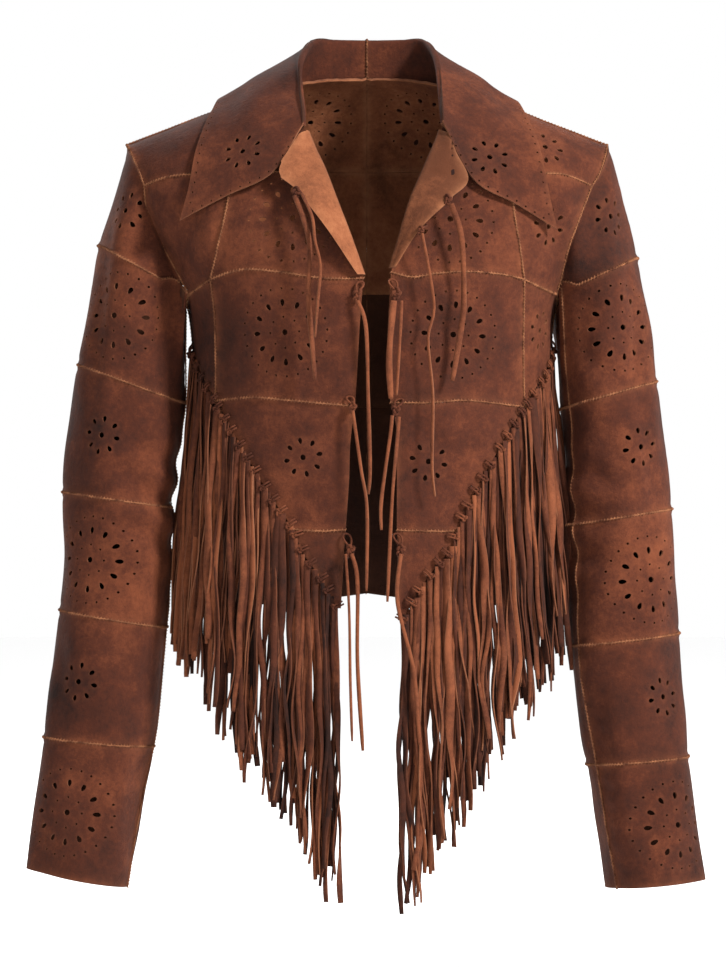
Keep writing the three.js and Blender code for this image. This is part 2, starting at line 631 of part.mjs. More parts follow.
function collarSection(side, row) {
  const place = (p) => new THREE.Vector3(side.sign * p[0], p[1], p[2]);
  const base = place(row.base);
  const fold = place(row.fold);
  const mid = place(row.mid);
  const edge = place(row.edge);
  const out = mid.clone().sub(fold).setZ(0).normalize();
  const rise = Math.max(0, fold.z - base.z);
  const radius = Math.min(COLLAR_FOLD, 1.6 + rise * 0.2);
  const inside = fold.clone().addScaledVector(out, -radius);
  inside.z -= Math.min(radius, rise * 0.5);
  const beyond = fold.clone().addScaledVector(out, radius);
  beyond.z -= radius;
  const outer = mid.clone().lerp(edge, 0.5);
  const stand = [base, inside, fold].map((p) => clearOfBody(p, STAND_ROOM));
  const leaf = [beyond, mid, outer, edge].map((p) => clearOfBody(p, LEAF_ROOM));
  return [...stand, ...leaf];
}

// Thickens a free-standing sheet half each way along its own normals.
function sheetGeometry(grid, thickness) {
  const rows = grid.length;
  const columns = grid[0].length;
  const normal = (r, c) => {
    const down = grid[Math.min(rows - 1, r + 1)][c].clone().sub(grid[Math.max(0, r - 1)][c]);
    const along = grid[r][Math.min(columns - 1, c + 1)].clone().sub(grid[r][Math.max(0, c - 1)]);
    return down.cross(along).normalize();
  };
  const layer = (offset) => grid.map((row, r) => row.map((p, c) => (
    p.clone().addScaledVector(normal(r, c), offset))));
  return wallGeometry(layer(thickness / 2), layer(-thickness / 2), false);
}

function addCollar(side) {
  const grid = COLLAR[side.name].map((row) => collarSection(side, row));
  const smooth = grid[0].map((_, c) => new THREE.CatmullRomCurve3(grid.map((row) => row[c])));
  const rows = [];
  const steps = 10;
  for (let r = 0; r <= steps; r += 1) {
    rows.push(smooth.map((curve) => curve.getPoint(r / steps)));
  }
  addPiece(`${side.name}_collar`, sheetGeometry(rows, LEATHER), BROWN);
}

function addLapel(side) {
  const table = LAPELS[side.name];
  const roll = flatCurve(table.roll);
  const free = flatCurve(table.free);
  const standRows = table.stand.map((stand, k) => ({ at: k / (table.stand.length - 1), stand }));
  const rows = 8;
  const columns = 4;
  const grid = [];
  for (let r = 0; r <= rows; r += 1) {
    const t = r / rows;
    const stand = tableValue(standRows, "at", "stand", t);
    const from = roll.getPointAt(t);
    const to = free.getPointAt(t);
    grid.push([]);
    for (let c = 0; c <= columns; c += 1) {
      const u = c / columns;
      const flat = from.clone().lerp(to, u);
      const p = onFront(side.sign * flat.x, flat.y);
      const lift = LAP + LEATHER / 2 + stand * Math.sin(u * Math.PI / 2);
      grid[r].push(p.addScaledVector(bodyNormal(p), lift));
    }
  }
  addPiece(`${side.name}_lapel`, sheetGeometry(grid, LEATHER), PALE);
}

// ---------------------------------------------------------------- fringe and ties
const FRINGE_PARTS = [
  { name: "fringe_side", seams: ["hemSide"], start: 0.13, end: 0.97, columns: 4 },
  { name: "fringe_middle", seams: ["hemMid"], start: 0.01, end: 0.985, columns: 5 },
  { name: "fringe_tip", seams: ["hemTip"], start: 0.015, end: 0.97, columns: 4 },
];

function addFringe(side) {
  const seams = FRONT_SEAMS[side.name];
  FRINGE_PARTS.forEach((part) => {
    const hem = joined(part.seams.map((name) => seams[name]));
    const rows = 4;
    const outer = [];
    const inner = [];
    for (let r = 0; r <= rows; r += 1) {
      const w = r / rows;
      outer.push([]);
      inner.push([]);
      for (let c = 0; c <= part.columns; c += 1) {
        const flat = hem(part.start + (part.end - part.start) * (c / part.columns));
        const top = onFront(side.sign * flat.x, flat.y);
        const out = bodyNormal(top).setZ(0).normalize();
        const flare = 15 * w * smoothStep(Math.abs(top.x), 40, 150);
        const p = top.clone().addScaledVector(out, flare - LEATHER / 2);
        p.x += side.sign * FRINGE_ROOM;
        p.z -= FRINGE_ROOM + FRINGE_LENGTH * w;
        const half = THREE.MathUtils.lerp(LEATHER / 2, FRINGE_DEPTH / 2, smoothStep(w, 0, 0.2));
        outer[r].push(p.clone().addScaledVector(out, half));
        inner[r].push(p.clone().addScaledVector(out, -half));
      }
    }
    addPiece(`${side.name}_${part.name}`, wallGeometry(outer, inner, false), STRIP);
  });
}

// A tube of eight sides along a route, closed at both ends.
function addTie(tie) {
  const points = tie.route.map(([x, off, z]) => {
    const p = onFront(Math.abs(x) < 1 ? 1 : x, z);
    return new THREE.Vector3(x, p.y - off, z);
  });
  const route = new THREE.CatmullRomCurve3(points);
  const sides = 8;
  const outline = new THREE.Shape();
  for (let k = 0; k < sides; k += 1) {
    const turn = (2 * Math.PI * k) / sides;
    const corner = [Math.cos(turn) * tie.width / 2, Math.sin(turn) * tie.width / 2];
    if (k === 0) {
      outline.moveTo(...corner);
    } else {
      outline.lineTo(...corner);
    }
  }
  const steps = Math.ceil(route.getLength() / (3 * tie.width));
  const geometry = new THREE.ExtrudeGeometry(outline, { steps, extrudePath: route, curveSegments: 1 });
  addPiece(tie.name, geometry, STRIP);
}

SIDES.forEach((side) => {
  addBodyPanels(side, -1, frontSeams(side), FRONT_PANELS);
  addBodyPanels(side, 1, backSeams(side), BACK_PANELS);
  addSleeve(side);
  addCollar(side);
  addLapel(side);
  addFringe(side);
});
TIES.forEach(addTie);

export default jacket;
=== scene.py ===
# Fringed buckskin jacket: the visual model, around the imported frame.
# Tables are in millimetres, as the jacket's cut is; meshes are made in metres.
import math
import random

import bpy
import numpy as np
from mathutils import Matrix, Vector
from mathutils.geometry import delaunay_2d_cdt


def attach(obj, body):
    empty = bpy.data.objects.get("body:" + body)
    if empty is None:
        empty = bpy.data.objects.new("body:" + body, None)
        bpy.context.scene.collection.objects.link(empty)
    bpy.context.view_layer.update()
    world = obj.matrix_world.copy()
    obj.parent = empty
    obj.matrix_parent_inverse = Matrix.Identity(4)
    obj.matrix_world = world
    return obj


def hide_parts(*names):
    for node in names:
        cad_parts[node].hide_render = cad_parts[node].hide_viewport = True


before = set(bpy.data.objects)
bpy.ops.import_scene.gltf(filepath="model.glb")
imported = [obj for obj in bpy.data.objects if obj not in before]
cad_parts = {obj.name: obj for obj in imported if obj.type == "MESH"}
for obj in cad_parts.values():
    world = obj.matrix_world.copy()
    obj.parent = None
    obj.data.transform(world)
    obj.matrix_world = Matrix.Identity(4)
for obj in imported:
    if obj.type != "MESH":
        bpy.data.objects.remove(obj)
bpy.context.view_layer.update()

MM = 0.001
LEATHER = 1.5             # thickness of the suede
SEAM_INSET = 0.12         # from a seam's line to the panel's edge
LAP = 1.4                 # room between a piece and the panel that it lies over
SHOULDER_RISE = 38.1
SHOULDER_SLOPE = 0.3794
NECK_ROUND = 25.0
SHOULDER_TIP = 207.0
NECK_HALF = 72.0
SQUARENESS = 2.4
FRINGE_LENGTH = 256.0     # nominal; most strips are a little shorter
LEAF_ROOM = 5.0
STAND_ROOM = 2.0
COLLAR_FOLD = 4.0
CAP_REACH = 146.0
CAP_NARROWS = 118.0
CAP_CLOSED = 158.0
UNDERARM_ROOM = 1.4
SEAM_GAP = 0.5
MESH_STEP = 4.2           # spacing of the suede's mesh
STITCH_PITCH = 2.9        # from one whip stitch to the next
STRIP_THICK = 1.15
LACE_THICK = 1.25
NOMINAL_TONE = 0.5        # middle of the suede's colour ramp
SEEDS = {"panels": {"right": 11, "left": 23}, "sleeves": {"right": 5, "left": 8},
         "fringe": {"right": 101, "left": 202}, "sleeve_seams": {"right": 43, "left": 47},
         "ties": 77, "body_seams": 31}
SIDES = {"right": -1, "left": 1}
EDGES = ("inner", "outer", "top", "bottom")

# ---------------------------------------------------------------- the cut, as in the CAD
BODY = {
    "z": [60, -40, -80, -120, -155, -186, -230, -330, -450],
    "right": [238, 223, 204, 184, 165, 153, 149, 147, 148],
    "left": [240, 226, 207, 189, 173, 161, 158, 151, 150],
    "front": [106, 112, 115, 117, 118, 118, 116, 109, 106],
    "back": [104, 106, 107, 107, 106, 104, 99, 92, 97],
}
ROUNDING = {"near": 70, "far": 205, "frontNear": 180, "frontFar": 92, "backNear": 112, "backFar": 88}

FRONT_SEAMS = {
    "right": {
        "neck": [[72, 9.2], [69, 4], [63, -8], [53.5, -30.6]],
        "rollTop": [[53.5, -30.6], [46, -51], [37, -70]],
        "rollLow": [[37, -70], [19, -117], [10, -142], [3, -161]],
        "yokeIn": [[37, -70], [75, -70], [114, -70]],
        "yokeOut": [[114, -70], [151, -71], [174, -74], [189, -79]],
        "armTop": [[207, -41], [202, -50], [195, -65], [189, -79]],
        "armLow": [[189, -79], [188, -92], [183, -110], [174, -130], [162, -152], [151, -172]],
        "vertTop": [[114, -70], [119, -105], [127, -140], [132, -160]],
        "vertLow": [[132, -160], [129, -190], [128, -230], [128, -263]],
        "chestIn": [[3, -161], [36, -161], [76, -155], [105, -153], [132, -160]],
        "chestOut": [[132, -160], [143, -167], [151, -172]],
        "side": [[153, -186], [151, -202], [149.5, -219]],
        "waist": [[10, -268], [40, -265.5], [76, -262], [100, -260.5], [128, -263]],
        "third": [[18, -372], [40, -373], [62, -372]],
        "edgeMid": [[3, -161], [6, -200], [8, -236], [10, -268]],
        "edgeLow": [[10, -268], [14, -300], [15, -330], [18, -372]],
        "edgeTip": [[18, -372], [20, -405], [22, -438]],
        "hemSide": [[149.5, -219], [139, -244], [128, -263]],
        "hemMid": [[128, -263], [111, -294], [87.5, -334], [62, -372]],
        "hemTip": [[62, -372], [54, -392], [40, -411], [25.5, -438]],
    },
    "left": {
        "neck": [[72, 9.2], [70, 3], [68, -9], [64.6, -29]],
        "rollTop": [[64.6, -29], [59, -46], [52, -63]],
        "rollLow": [[52, -63], [37, -100], [26, -132], [20, -156]],
        "yokeIn": [[52, -63], [85, -67], [121, -69]],
        "yokeOut": [[121, -69], [147, -70], [168, -71], [191, -79]],
        "armTop": [[207, -41], [204, -52], [198, -68], [191, -79]],
        "armLow": [[191, -79], [186, -92], [179, -110], [172, -130], [167, -150], [161.5, -171]],
        "vertTop": [[121, -69], [124, -105], [128, -130], [132.5, -160.5]],
        "vertLow": [[132.5, -160.5], [132, -195], [132.5, -230], [133.5, -268]],
        "chestIn": [[20, -156], [39, -160], [57, -157], [84, -155], [115, -157], [132.5, -160.5]],
        "chestOut": [[132.5, -160.5], [148, -167], [161.5, -171]],
        "side": [[161, -186], [159.5, -201], [158.5, -216]],
        "waist": [[19.5, -265], [54, -265], [85, -263], [133.5, -268]],
        "third": [[25, -372], [50, -373], [75, -373]],
        "edgeMid": [[20, -156], [17.5, -200], [17, -228], [19.5, -265]],
        "edgeLow": [[19.5, -265], [25, -290], [25, -330], [25, -372]],
        "edgeTip": [[25, -372], [26, -410], [26, -448]],
        "hemSide": [[158.5, -216], [153, -236], [133.5, -268]],
        "hemMid": [[133.5, -268], [116, -296], [88, -346], [75, -373]],
        "hemTip": [[75, -373], [70, -389], [52, -411], [38, -434], [30, -448]],
    },
}
BACK_SEAMS = {
    "neck": [[0.2, 20], [30, 18.5], [55, 14], [72, 9.2]],
    "yoke": [[0.2, -58], [60, -58], [130, -60], [195, -66]],
    "chest": [[0.2, -166], [60, -166], [120, -166], [154, -165]],
    "waist": [[0.2, -266], [60, -265], [110, -264]],
    "hem": [[0.2, -430], [30, -434], [70, -438], [110, -440]],
    "armTop": [[207, -41], [202, -50], [195, -66]],
    "armLow": [[195, -66], [189, -95], [179, -125], [154, -165]],
}
WAIST_SIDE = -264.0       # height of the back's waist seam at the side
HEM_SIDE = -438.0         # height of the back hem at the side

# Panels: their four edges, each "free" where nothing is sewn on.
FRONT_PANELS = {
    "front_yoke": {"top": ["shoulder"], "outer": ["armTop"], "bottom": ["yokeIn", "yokeOut"],
                   "inner": ["neck", "rollTop"], "free": ["inner"], "rounded": True},
    "upper_centre": {"top": ["yokeIn"], "outer": ["vertTop"], "bottom": ["chestIn"],
                     "inner": ["rollLow"], "free": ["inner"]},
    "upper_side": {"top": ["yokeOut"], "outer": ["armLow"], "bottom": ["chestOut"],
                   "inner": ["vertTop"], "free": []},
    "mid_centre": {"top": ["chestIn"], "outer": ["vertLow"], "bottom": ["waist"],
                   "inner": ["edgeMid"], "free": ["inner"]},
    "mid_side": {"top": ["chestOut", "armBase"], "outer": ["side"], "bottom": ["hemSideBack"],
                 "inner": ["vertLow"], "free": ["bottom"]},
    "low_centre": {"top": ["waist"], "outer": ["hemMid"], "bottom": ["third"],
                   "inner": ["edgeLow"], "free": ["inner", "outer"]},
    "tip": {"top": ["third"], "outer": ["hemTip"], "bottom": ["tipEnd"],
            "inner": ["edgeTip"], "free": ["inner", "outer", "bottom"]},
}
BACK_PANELS = {
    "back_yoke": {"top": ["neck", "shoulder"], "outer": ["armTop"], "bottom": ["yoke"],
                  "inner": ["middleYoke"], "free": [], "rounded": True},
    "back_upper": {"top": ["yoke"], "outer": ["armLow"], "bottom": ["chest"],
                   "inner": ["middleUpper"], "free": []},
    "back_mid": {"top": ["chest", "armBase"], "outer": ["sideMid"], "bottom": ["waistOut"],
                 "inner": ["middleMid"], "free": []},
    "back_low": {"top": ["waistOut"], "outer": ["sideLow"], "bottom": ["hemOut"],
                 "inner": ["middleLow"], "free": ["outer", "bottom"]},
}

SLEEVE_RINGS = {
    "right": [
        {"x": 193, "y": 2, "z": -149, "half": 43.0, "depth": 60, "tilt": 29},
        {"x": 204, "y": 0, "z": -247, "half": 47.5, "depth": 57, "tilt": 20},
        {"x": 214.6, "y": -5, "z": -347, "half": 47.6, "depth": 53, "tilt": 8},
        {"x": 217.6, "y": -12, "z": -449, "half": 48.0, "depth": 50, "tilt": 9},
        {"x": 231, "y": -21, "z": -554, "half": 47.0, "depth": 46, "tilt": 5},
        {"x": 247.6, "y": -32, "z": -670, "half": 41.5, "depth": 42, "tilt": 11},
    ],
    "left": [
        {"x": 197, "y": 2, "z": -156, "half": 42.0, "depth": 60, "tilt": 25},
        {"x": 208, "y": 0, "z": -257, "half": 44.0, "depth": 57, "tilt": 16},
        {"x": 215.5, "y": -5, "z": -362, "half": 46.0, "depth": 53, "tilt": 9},
        {"x": 221, "y": -12, "z": -467, "half": 46.5, "depth": 50, "tilt": 6.5},
        {"x": 233, "y": -21, "z": -570, "half": 45.5, "depth": 46, "tilt": 4.6},
        {"x": 246, "y": -32, "z": -675, "half": 42.0, "depth": 42, "tilt": 5},
    ],
}
SLEEVE_PIECES = ["cap", "upper_arm", "above_elbow", "below_elbow", "forearm", "cuff"]
SLEEVE_SEAM = {"right": 176.0, "left": 146.0}     # degrees from the top to the underarm seam

COLLAR = {
    "right": [
        {"base": [0.3, 43, 22], "fold": [0.3, 46, 53], "mid": [0.3, 78, 8], "edge": [0.3, 99, -60]},
        {"base": [33, 38, 20], "fold": [28, 42, 53], "mid": [42, 74, 11], "edge": [56, 96, -58]},
        {"base": [57, 30, 16], "fold": [47, 32, 52], "mid": [76, 54, 20], "edge": [104, 78, -38]},
        {"base": [71, 8, 14], "fold": [55, 4, 43], "mid": [92, 6, 22], "edge": [124, 14, -1]},
        {"base": [70, -22, 8], "fold": [59, -26, 27], "mid": [95, -28, 7], "edge": [133, -27, -16]},
        {"base": [65, -46, -6], "fold": [58, -50, 6], "mid": [98, -61, -18], "edge": [143, -61, -52]},
        {"base": [58, -68, -22], "fold": [55, -72, -14], "mid": [94, -86, -48], "edge": [151, -80, -86]},
        {"base": [54.5, -80, -33], "fold": [54, -85, -30], "mid": [80, -103, -71], "edge": [158, -86, -111]},
    ],
    "left": [
        {"base": [0.3, 43, 22], "fold": [0.3, 46, 53], "mid": [0.3, 78, 8], "edge": [0.3, 99, -60]},
        {"base": [34, 38, 20], "fold": [30, 42, 53], "mid": [43, 74, 11], "edge": [56, 96, -58]},
        {"base": [58, 30, 16], "fold": [50, 32, 52], "mid": [78, 54, 20], "edge": [104, 78, -38]},
        {"base": [72, 8, 14], "fold": [59, 4, 42], "mid": [94, 6, 22], "edge": [125, 14, -2]},
        {"base": [72, -22, 8], "fold": [63, -26, 24], "mid": [98, -28, 5], "edge": [134, -27, -18]},
        {"base": [69, -46, -6], "fold": [64, -50, 4], "mid": [102, -61, -20], "edge": [144, -61, -56]},
        {"base": [65, -67, -21], "fold": [64, -71, -14], "mid": [102, -85, -52], "edge": [153, -79, -91]},
        {"base": [64, -78, -31], "fold": [64, -83, -28], "mid": [90, -101, -77], "edge": [161, -85, -118]},
    ],
}
LAPELS = {
    "right": {
        "roll": [[51.5, -36.5], [46, -51], [37, -70], [19, -117], [4.5, -158]],
        "free": [[56, -42], [64, -58], [72, -77], [58, -90], [33, -121], [8, -158]],
        "stand": [5, 11, 12, 9, 3],
    },
    "left": {
        "roll": [[62.5, -35.5], [59, -46], [52, -63], [37, -100], [21, -152]],
        "free": [[67.5, -42], [74, -60], [83, -83], [66, -100], [43, -122], [24, -151.5]],
        "stand": [5, 11, 12, 9, 3],
    },
}

# Laces: width, and the route as [x, distance in front of the front panels, z].
TIES = {
    "tie_right_lapel_wide": (4.2, [[-60.5, 17, -92], [-53, 17, -112], [-48, 14, -135], [-49, 12, -177],
                                   [-46, 12, -215], [-43.5, 12, -246]]),
    "tie_right_lapel_thin": (2.4, [[-55, 18, -90], [-46, 19, -110], [-43.5, 20, -130], [-39, 18, -151],
                                   [-41, 18, -180], [-43.5, 18, -211]]),
    "tie_right_chest": (3.0, [[-8, 7, -180], [-1, 8, -202], [1, 8, -262], [2.5, 8, -321], [1, 8, -342]]),
    "tie_right_waist": (2.6, [[-12, 7, -272], [-5, 14, -321], [0, 14, -355], [-0.5, 14, -423]]),
    "tie_right_hem_wide": (3.2, [[-13, 8, -392], [-8, 10, -415], [-8, 10, -483], [-3.5, 10, -557]]),
    "tie_right_hem_thin": (2.2, [[-18, 9, -392], [-15, 11, -440], [-14, 11, -500], [-12.5, 11, -549]]),
    "tie_left_lapel_wide": (4.6, [[70.5, 18, -99], [79, 17, -128], [81, 13, -177], [79, 12, -202],
                                  [71.5, 12, -247]]),
    "tie_left_lapel_thin": (2.4, [[46, 18, -124], [56, 13, -183], [51, 12, -212], [55, 12, -259],
                                  [54.5, 12, -319], [57, 12, -344]]),
    "tie_left_chest_wide": (5.0, [[22.5, 8, -180], [20, 9, -205], [18.5, 9, -232], [20, 9, -262]]),
    "tie_left_chest_thin": (2.4, [[29, 8, -180], [28, 9, -205], [26, 9, -236], [24.6, 9.5, -259]]),
    "tie_left_waist_in": (2.8, [[21, 8, -276], [19.5, 9, -292], [12, 10, -347], [12, 10, -372]]),
    "tie_left_waist_out": (2.8, [[27, 8, -277], [25, 9, -300], [21, 12, -347], [17, 16, -432]]),
    "tie_left_hem": (3.2, [[28.5, 8, -392], [25.5, 10, -432], [39, 11, -490], [44, 11, -552]]),
}

# ---------------------------------------------------------------- punched motifs
# Middles of the motifs as [x, z] seen from the front, by the piece they are punched in.
FLOWERS = {
    "right_collar": [[-105.4, -51.9]], "left_collar": [[103.7, -57.0]],
    "right_low_centre": [[-53.6, -311]], "left_low_centre": [[51.9, -314.5]],
    "left_front_yoke": [[151.3, -47]],
    "left_upper_side": [[155, -115.6]],
    "left_mid_side": [[147.5, -203]],
    "right_sleeve_1_cap": [[-204.9, -100.3]], "left_sleeve_1_cap": [[209, -104.6]],
    "right_sleeve_3_above_elbow": [[-227, -291.6]], "left_sleeve_3_above_elbow": [[232.9, -301.8]],
    "right_sleeve_5_forearm": [[-244.8, -501.5]], "left_sleeve_5_forearm": [[254.2, -514.3]],
}
MEDALLIONS = {
    "right_upper_centre": [[-62.9, -109.7]], "left_upper_centre": [[70, -110.5]],
    "right_mid_centre": [[-69.7, -206]], "left_mid_centre": [[73.1, -208]],
    "right_sleeve_2_upper_arm": [[-214.2, -190]], "left_sleeve_2_upper_arm": [[217.6, -200]],
    "right_sleeve_4_below_elbow": [[-236.3, -397.8]], "left_sleeve_4_below_elbow": [[242.3, -414.8]],
    "right_sleeve_6_cuff": [[-255, -612]], "left_sleeve_6_cuff": [[263.5, -623]],
    "right_back_yoke": [[-50, -15]], "left_back_yoke": [[52, -15]],
}
# A ring of holes: distance from the middle, count, and half sizes along and across the radius.
FLOWER_RINGS = [(0, 1, 2.5, 2.5), (14, 8, 2.7, 1.8)]
MEDALLION_RINGS = [(0, 1, 2.6, 2.6), (13, 8, 1.0, 1.0), (25, 12, 3.1, 1.9), (37, 24, 1.05, 1.05)]

# Creases: lines of [x, z] seen from the front, on the front (-1) or back (1), half width and depth.
CREASES = [
    (-1, [[-216, -92], [-224.4, -131], [-228.7, -190], [-232, -232], [-234.6, -263], [-239, -325]], 6, 2.6),
    (-1, [[-265, -459], [-262, -490], [-264, -542]], 7, 2.2),
    (-1, [[-186, -300], [-205, -318], [-232, -322]], 9, 2.2),
    (-1, [[-184, -380], [-204, -372], [-226, -361]], 8, 2.0),
    (-1, [[-190, -560], [-200, -600], [-206, -655]], 8, 2.4),
    (-1, [[-176, -205], [-196, -226], [-214, -231]], 9, 2.2),
    (-1, [[217, -92], [220, -145], [231, -201], [230, -238], [240, -316], [245, -354]], 6, 2.6),
    (-1, [[186, -318], [206, -334], [236, -330]], 9, 2.4),
    (-1, [[184, -402], [208, -390], [234, -372]], 8, 2.0),
    (-1, [[196, -500], [201, -560], [216, -660]], 7, 2.6),
    (-1, [[178, -212], [198, -235], [216, -241]], 9, 2.2),
    (-1, [[-30, -178], [-60, -196], [-96, -232]], 10, 1.6),
    (-1, [[-28, -282], [-66, -300], [-92, -304]], 9, 1.5),
    (-1, [[-136, -96], [-152, -120], [-158, -152]], 8, 2.2),
    (-1, [[34, -176], [64, -200], [102, -238]], 10, 1.6),
    (-1, [[38, -286], [70, -306], [96, -300]], 9, 1.4),
    (-1, [[142, -90], [158, -112], [163, -150]], 8, 2.2),
    (-1, [[-26, -388], [-34, -410], [-38, -426]], 6, 1.4),
    (1, [[-40, -90], [-74, -140], [-116, -186]], 11, 2.4),
    (1, [[44, -84], [80, -136], [120, -182]], 11, 2.2),
    (1, [[-20, -236], [-66, -252], [-118, -244]], 9, 2.0),
    (1, [[24, -292], [70, -286], [112, -300]], 10, 2.2),
    (1, [[-36, -330], [-44, -380], [-40, -424]], 12, 3.0),
    (1, [[92, -340], [98, -390], [96, -430]], 12, 3.0),
    (1, [[-214, -210], [-204, -262], [-212, -318]], 9, 2.6),
    (1, [[-232, -330], [-206, -352], [-184, -346]], 8, 2.8),
    (1, [[-228, -402], [-206, -392], [-186, -404]], 8, 2.2),
    (1, [[214, -214], [206, -268], [216, -322]], 9, 2.6),
    (1, [[236, -344], [210, -364], [188, -352]], 8, 2.8),
    (1, [[-244, -520], [-236, -580], [-248, -640]], 8, 2.4),
    (1, [[246, -500], [240, -572], [254, -650]], 8, 2.4),
]


# ---------------------------------------------------------------- numbers and curves
def smooth_step(value, start, end):
    t = np.clip((np.asarray(value, float) - start) / (end - start), 0, 1)
    return t * t * (3 - 2 * t)


def table_value(keys, values, at):
    """Reads a table smoothly between its rows, with the same bends as the CAD."""
    keys = np.asarray(keys, float)
    values = np.asarray(values, float)
    if keys[0] > keys[-1]:
        keys = keys[::-1]
        values = values[::-1]
    where = np.clip(np.asarray(at, float), keys[0], keys[-1])
    k = np.clip(np.searchsorted(keys, where, side="left") - 1, 0, len(keys) - 2)
    before = np.maximum(np.arange(len(keys)) - 1, 0)
    after = np.minimum(np.arange(len(keys)) + 1, len(keys) - 1)
    slopes = (values[after] - values[before]) / (keys[after] - keys[before])
    span = keys[k + 1] - keys[k]
    t = (where - keys[k]) / span
    rise = values[k + 1] - values[k]
    bend = (1 - t) * (slopes[k] * span - rise) - t * (slopes[k + 1] * span - rise)
    return values[k] + rise * t + t * (1 - t) * bend


def catmull(p0, p1, p2, p3, t):
    v0 = (p2 - p0) * 0.5
    v1 = (p3 - p1) * 0.5
    return ((2 * p1 - 2 * p2 + v0 + v1) * t ** 3 + (-3 * p1 + 3 * p2 - 2 * v0 - v1) * t ** 2 + v0 * t + p1)


def spline_points(points, per_span=24):
    """Points along a smooth curve through the given ones."""
    p = np.asarray(points, float)
    out = []
    for k in range(len(p) - 1):
        p0 = p[max(0, k - 1)]
        p3 = p[min(len(p) - 1, k + 2)]
        for t in np.arange(per_span) / per_span:
            out.append(catmull(p0, p[k], p[k + 1], p3, t))
    out.append(p[-1])
    return np.array(out)


def even_reader(dense):
    """A function from the share of a line's length to the point there."""
    steps = np.linalg.norm(np.diff(dense, axis=0), axis=1)
    lengths = np.concatenate([[0], np.cumsum(steps)])

    def read(t):
        at = np.clip(np.asarray(t, float), 0, 1) * lengths[-1]
        return np.stack([np.interp(at, lengths, dense[:, k]) for k in range(dense.shape[1])], axis=-1)

    read.length = lengths[-1]
    return read


def joined(seams):
    """Several seams end to end, read by the share of their joint length."""
    parts = [spline_points(points) for points in seams]
    dense = np.concatenate([parts[0]] + [part[1:] for part in parts[1:]])
    return even_reader(dense)


def unit(v):
    return v / np.maximum(np.linalg.norm(v, axis=-1, keepdims=True), 1e-9)


# ---------------------------------------------------------------- the body's form
def shoulder_height(x):
    return SHOULDER_RISE - SHOULDER_SLOPE * np.hypot(x, NECK_ROUND)


def half_width(x, z):
    right = table_value(BODY["z"], BODY["right"], z)
    left = table_value(BODY["z"], BODY["left"], z)
    return np.where(np.asarray(x) < 0, right, left)


def depth_at(x, z, face):
    share = np.clip((np.abs(x) - ROUNDING["near"]) / (ROUNDING["far"] - ROUNDING["near"]), 0, 1)
    front = ROUNDING["frontNear"] + (ROUNDING["frontFar"] - ROUNDING["frontNear"]) * share
    back = ROUNDING["backNear"] + (ROUNDING["backFar"] - ROUNDING["backNear"]) * share
    rounding = np.where(face < 0, front, back)
    drop = np.clip(1 - (shoulder_height(x) - z) / rounding, 0, 1)
    ahead = table_value(BODY["z"], BODY["front"], z)
    behind = table_value(BODY["z"], BODY["back"], z)
    full = np.where(face < 0, ahead, behind)
    return full, 1 - drop * drop


def outside(p):
    x, y, z = p[..., 0], p[..., 1], p[..., 2]
    full, squared = depth_at(x, z, np.where(y < 0, -1, 1))
    across = 1 - (np.abs(x) / half_width(x, z)) ** SQUARENESS
    return (y / full) ** 2 - squared * np.sign(across) * np.abs(across) ** (2 / SQUARENESS)


def body_normal(p):
    step = 0.2
    slopes = [outside(p + step * axis) - outside(p - step * axis) for axis in np.eye(3)]
    return unit(np.stack(slopes, axis=-1))


def body_point(sign, face, angle, z):
    angle = np.clip(angle, 0, math.pi / 2)
    wide = table_value(BODY["z"], BODY["right" if sign < 0 else "left"], z)
    x = sign * wide * np.sin(angle) ** (2 / SQUARENESS)
    full, squared = depth_at(x, z, np.full(np.shape(x), face))
    y = face * full * np.sqrt(squared) * np.maximum(np.cos(angle), 0) ** (2 / SQUARENESS)
    return np.stack([x, y, z + 0 * x], axis=-1)


def angle_of(sign, out, z):
    wide = table_value(BODY["z"], BODY["right" if sign < 0 else "left"], z)
    return np.arcsin(np.clip(out / wide, 0, 1) ** (SQUARENESS / 2))


def on_front(x, z):
    sign = -1 if x < 0 else 1
    return body_point(sign, -1, angle_of(sign, np.array([abs(x)], float), np.array([z], float)),
                      np.array([z], float))[0]


# ---------------------------------------------------------------- relief of the suede
def undulation(p):
    """Slow rise and fall of soft hide, in millimetres."""
    waves = [((0.031, 0.017, 0.045), 0.4, 0.55), ((-0.052, 0.024, 0.028), 1.9, 0.45),
             ((0.083, -0.03, -0.061), 2.7, 0.3), ((0.02, 0.06, -0.094), 4.4, 0.28),
             ((-0.11, 0.04, 0.102), 5.1, 0.16), ((0.15, 0.09, 0.07), 0.9, 0.12)]
    total = np.zeros(len(p))
    for direction, phase, height in waves:
        total += height * np.sin(p @ np.array(direction) + phase + 0.8 * np.sin(p[:, 2] * 0.021 + phase))
    return total


def crease_depth(p, normal):
    """Troughs along the creases, with a low ridge beside each."""
    total = np.zeros(len(p))
    facing = np.where(normal[:, 1] < 0, -1, 1)
    flat = p[:, [0, 2]]
    for face, line, width, depth in CREASES:
        dense = spline_points(line, 6)
        near = flat[:, None, :] - dense[None, :, :]
        distance = np.sqrt((near ** 2).sum(axis=2))
        nearest = distance.argmin(axis=1)
        across = distance[np.arange(len(p)), nearest]
        along = nearest / (len(dense) - 1)
        beside = near[np.arange(len(p)), nearest, 0]
        taper = np.sin(np.clip(along, 0.02, 0.98) * math.pi) ** 0.7
        trough = -depth * np.exp(-(across / width) ** 2)
        ridge = 0.45 * depth * np.exp(-((across - 1.9 * width) / width) ** 2) * (beside > 0)
        total += (trough + ridge) * taper * (facing == face)
    return total


def edge_distance(u, v, wide, tall):
    """How far a place is from the nearest edge of its piece, in millimetres."""
    return np.minimum(np.minimum(u, 1 - u) * wide, np.minimum(v, 1 - v) * tall)


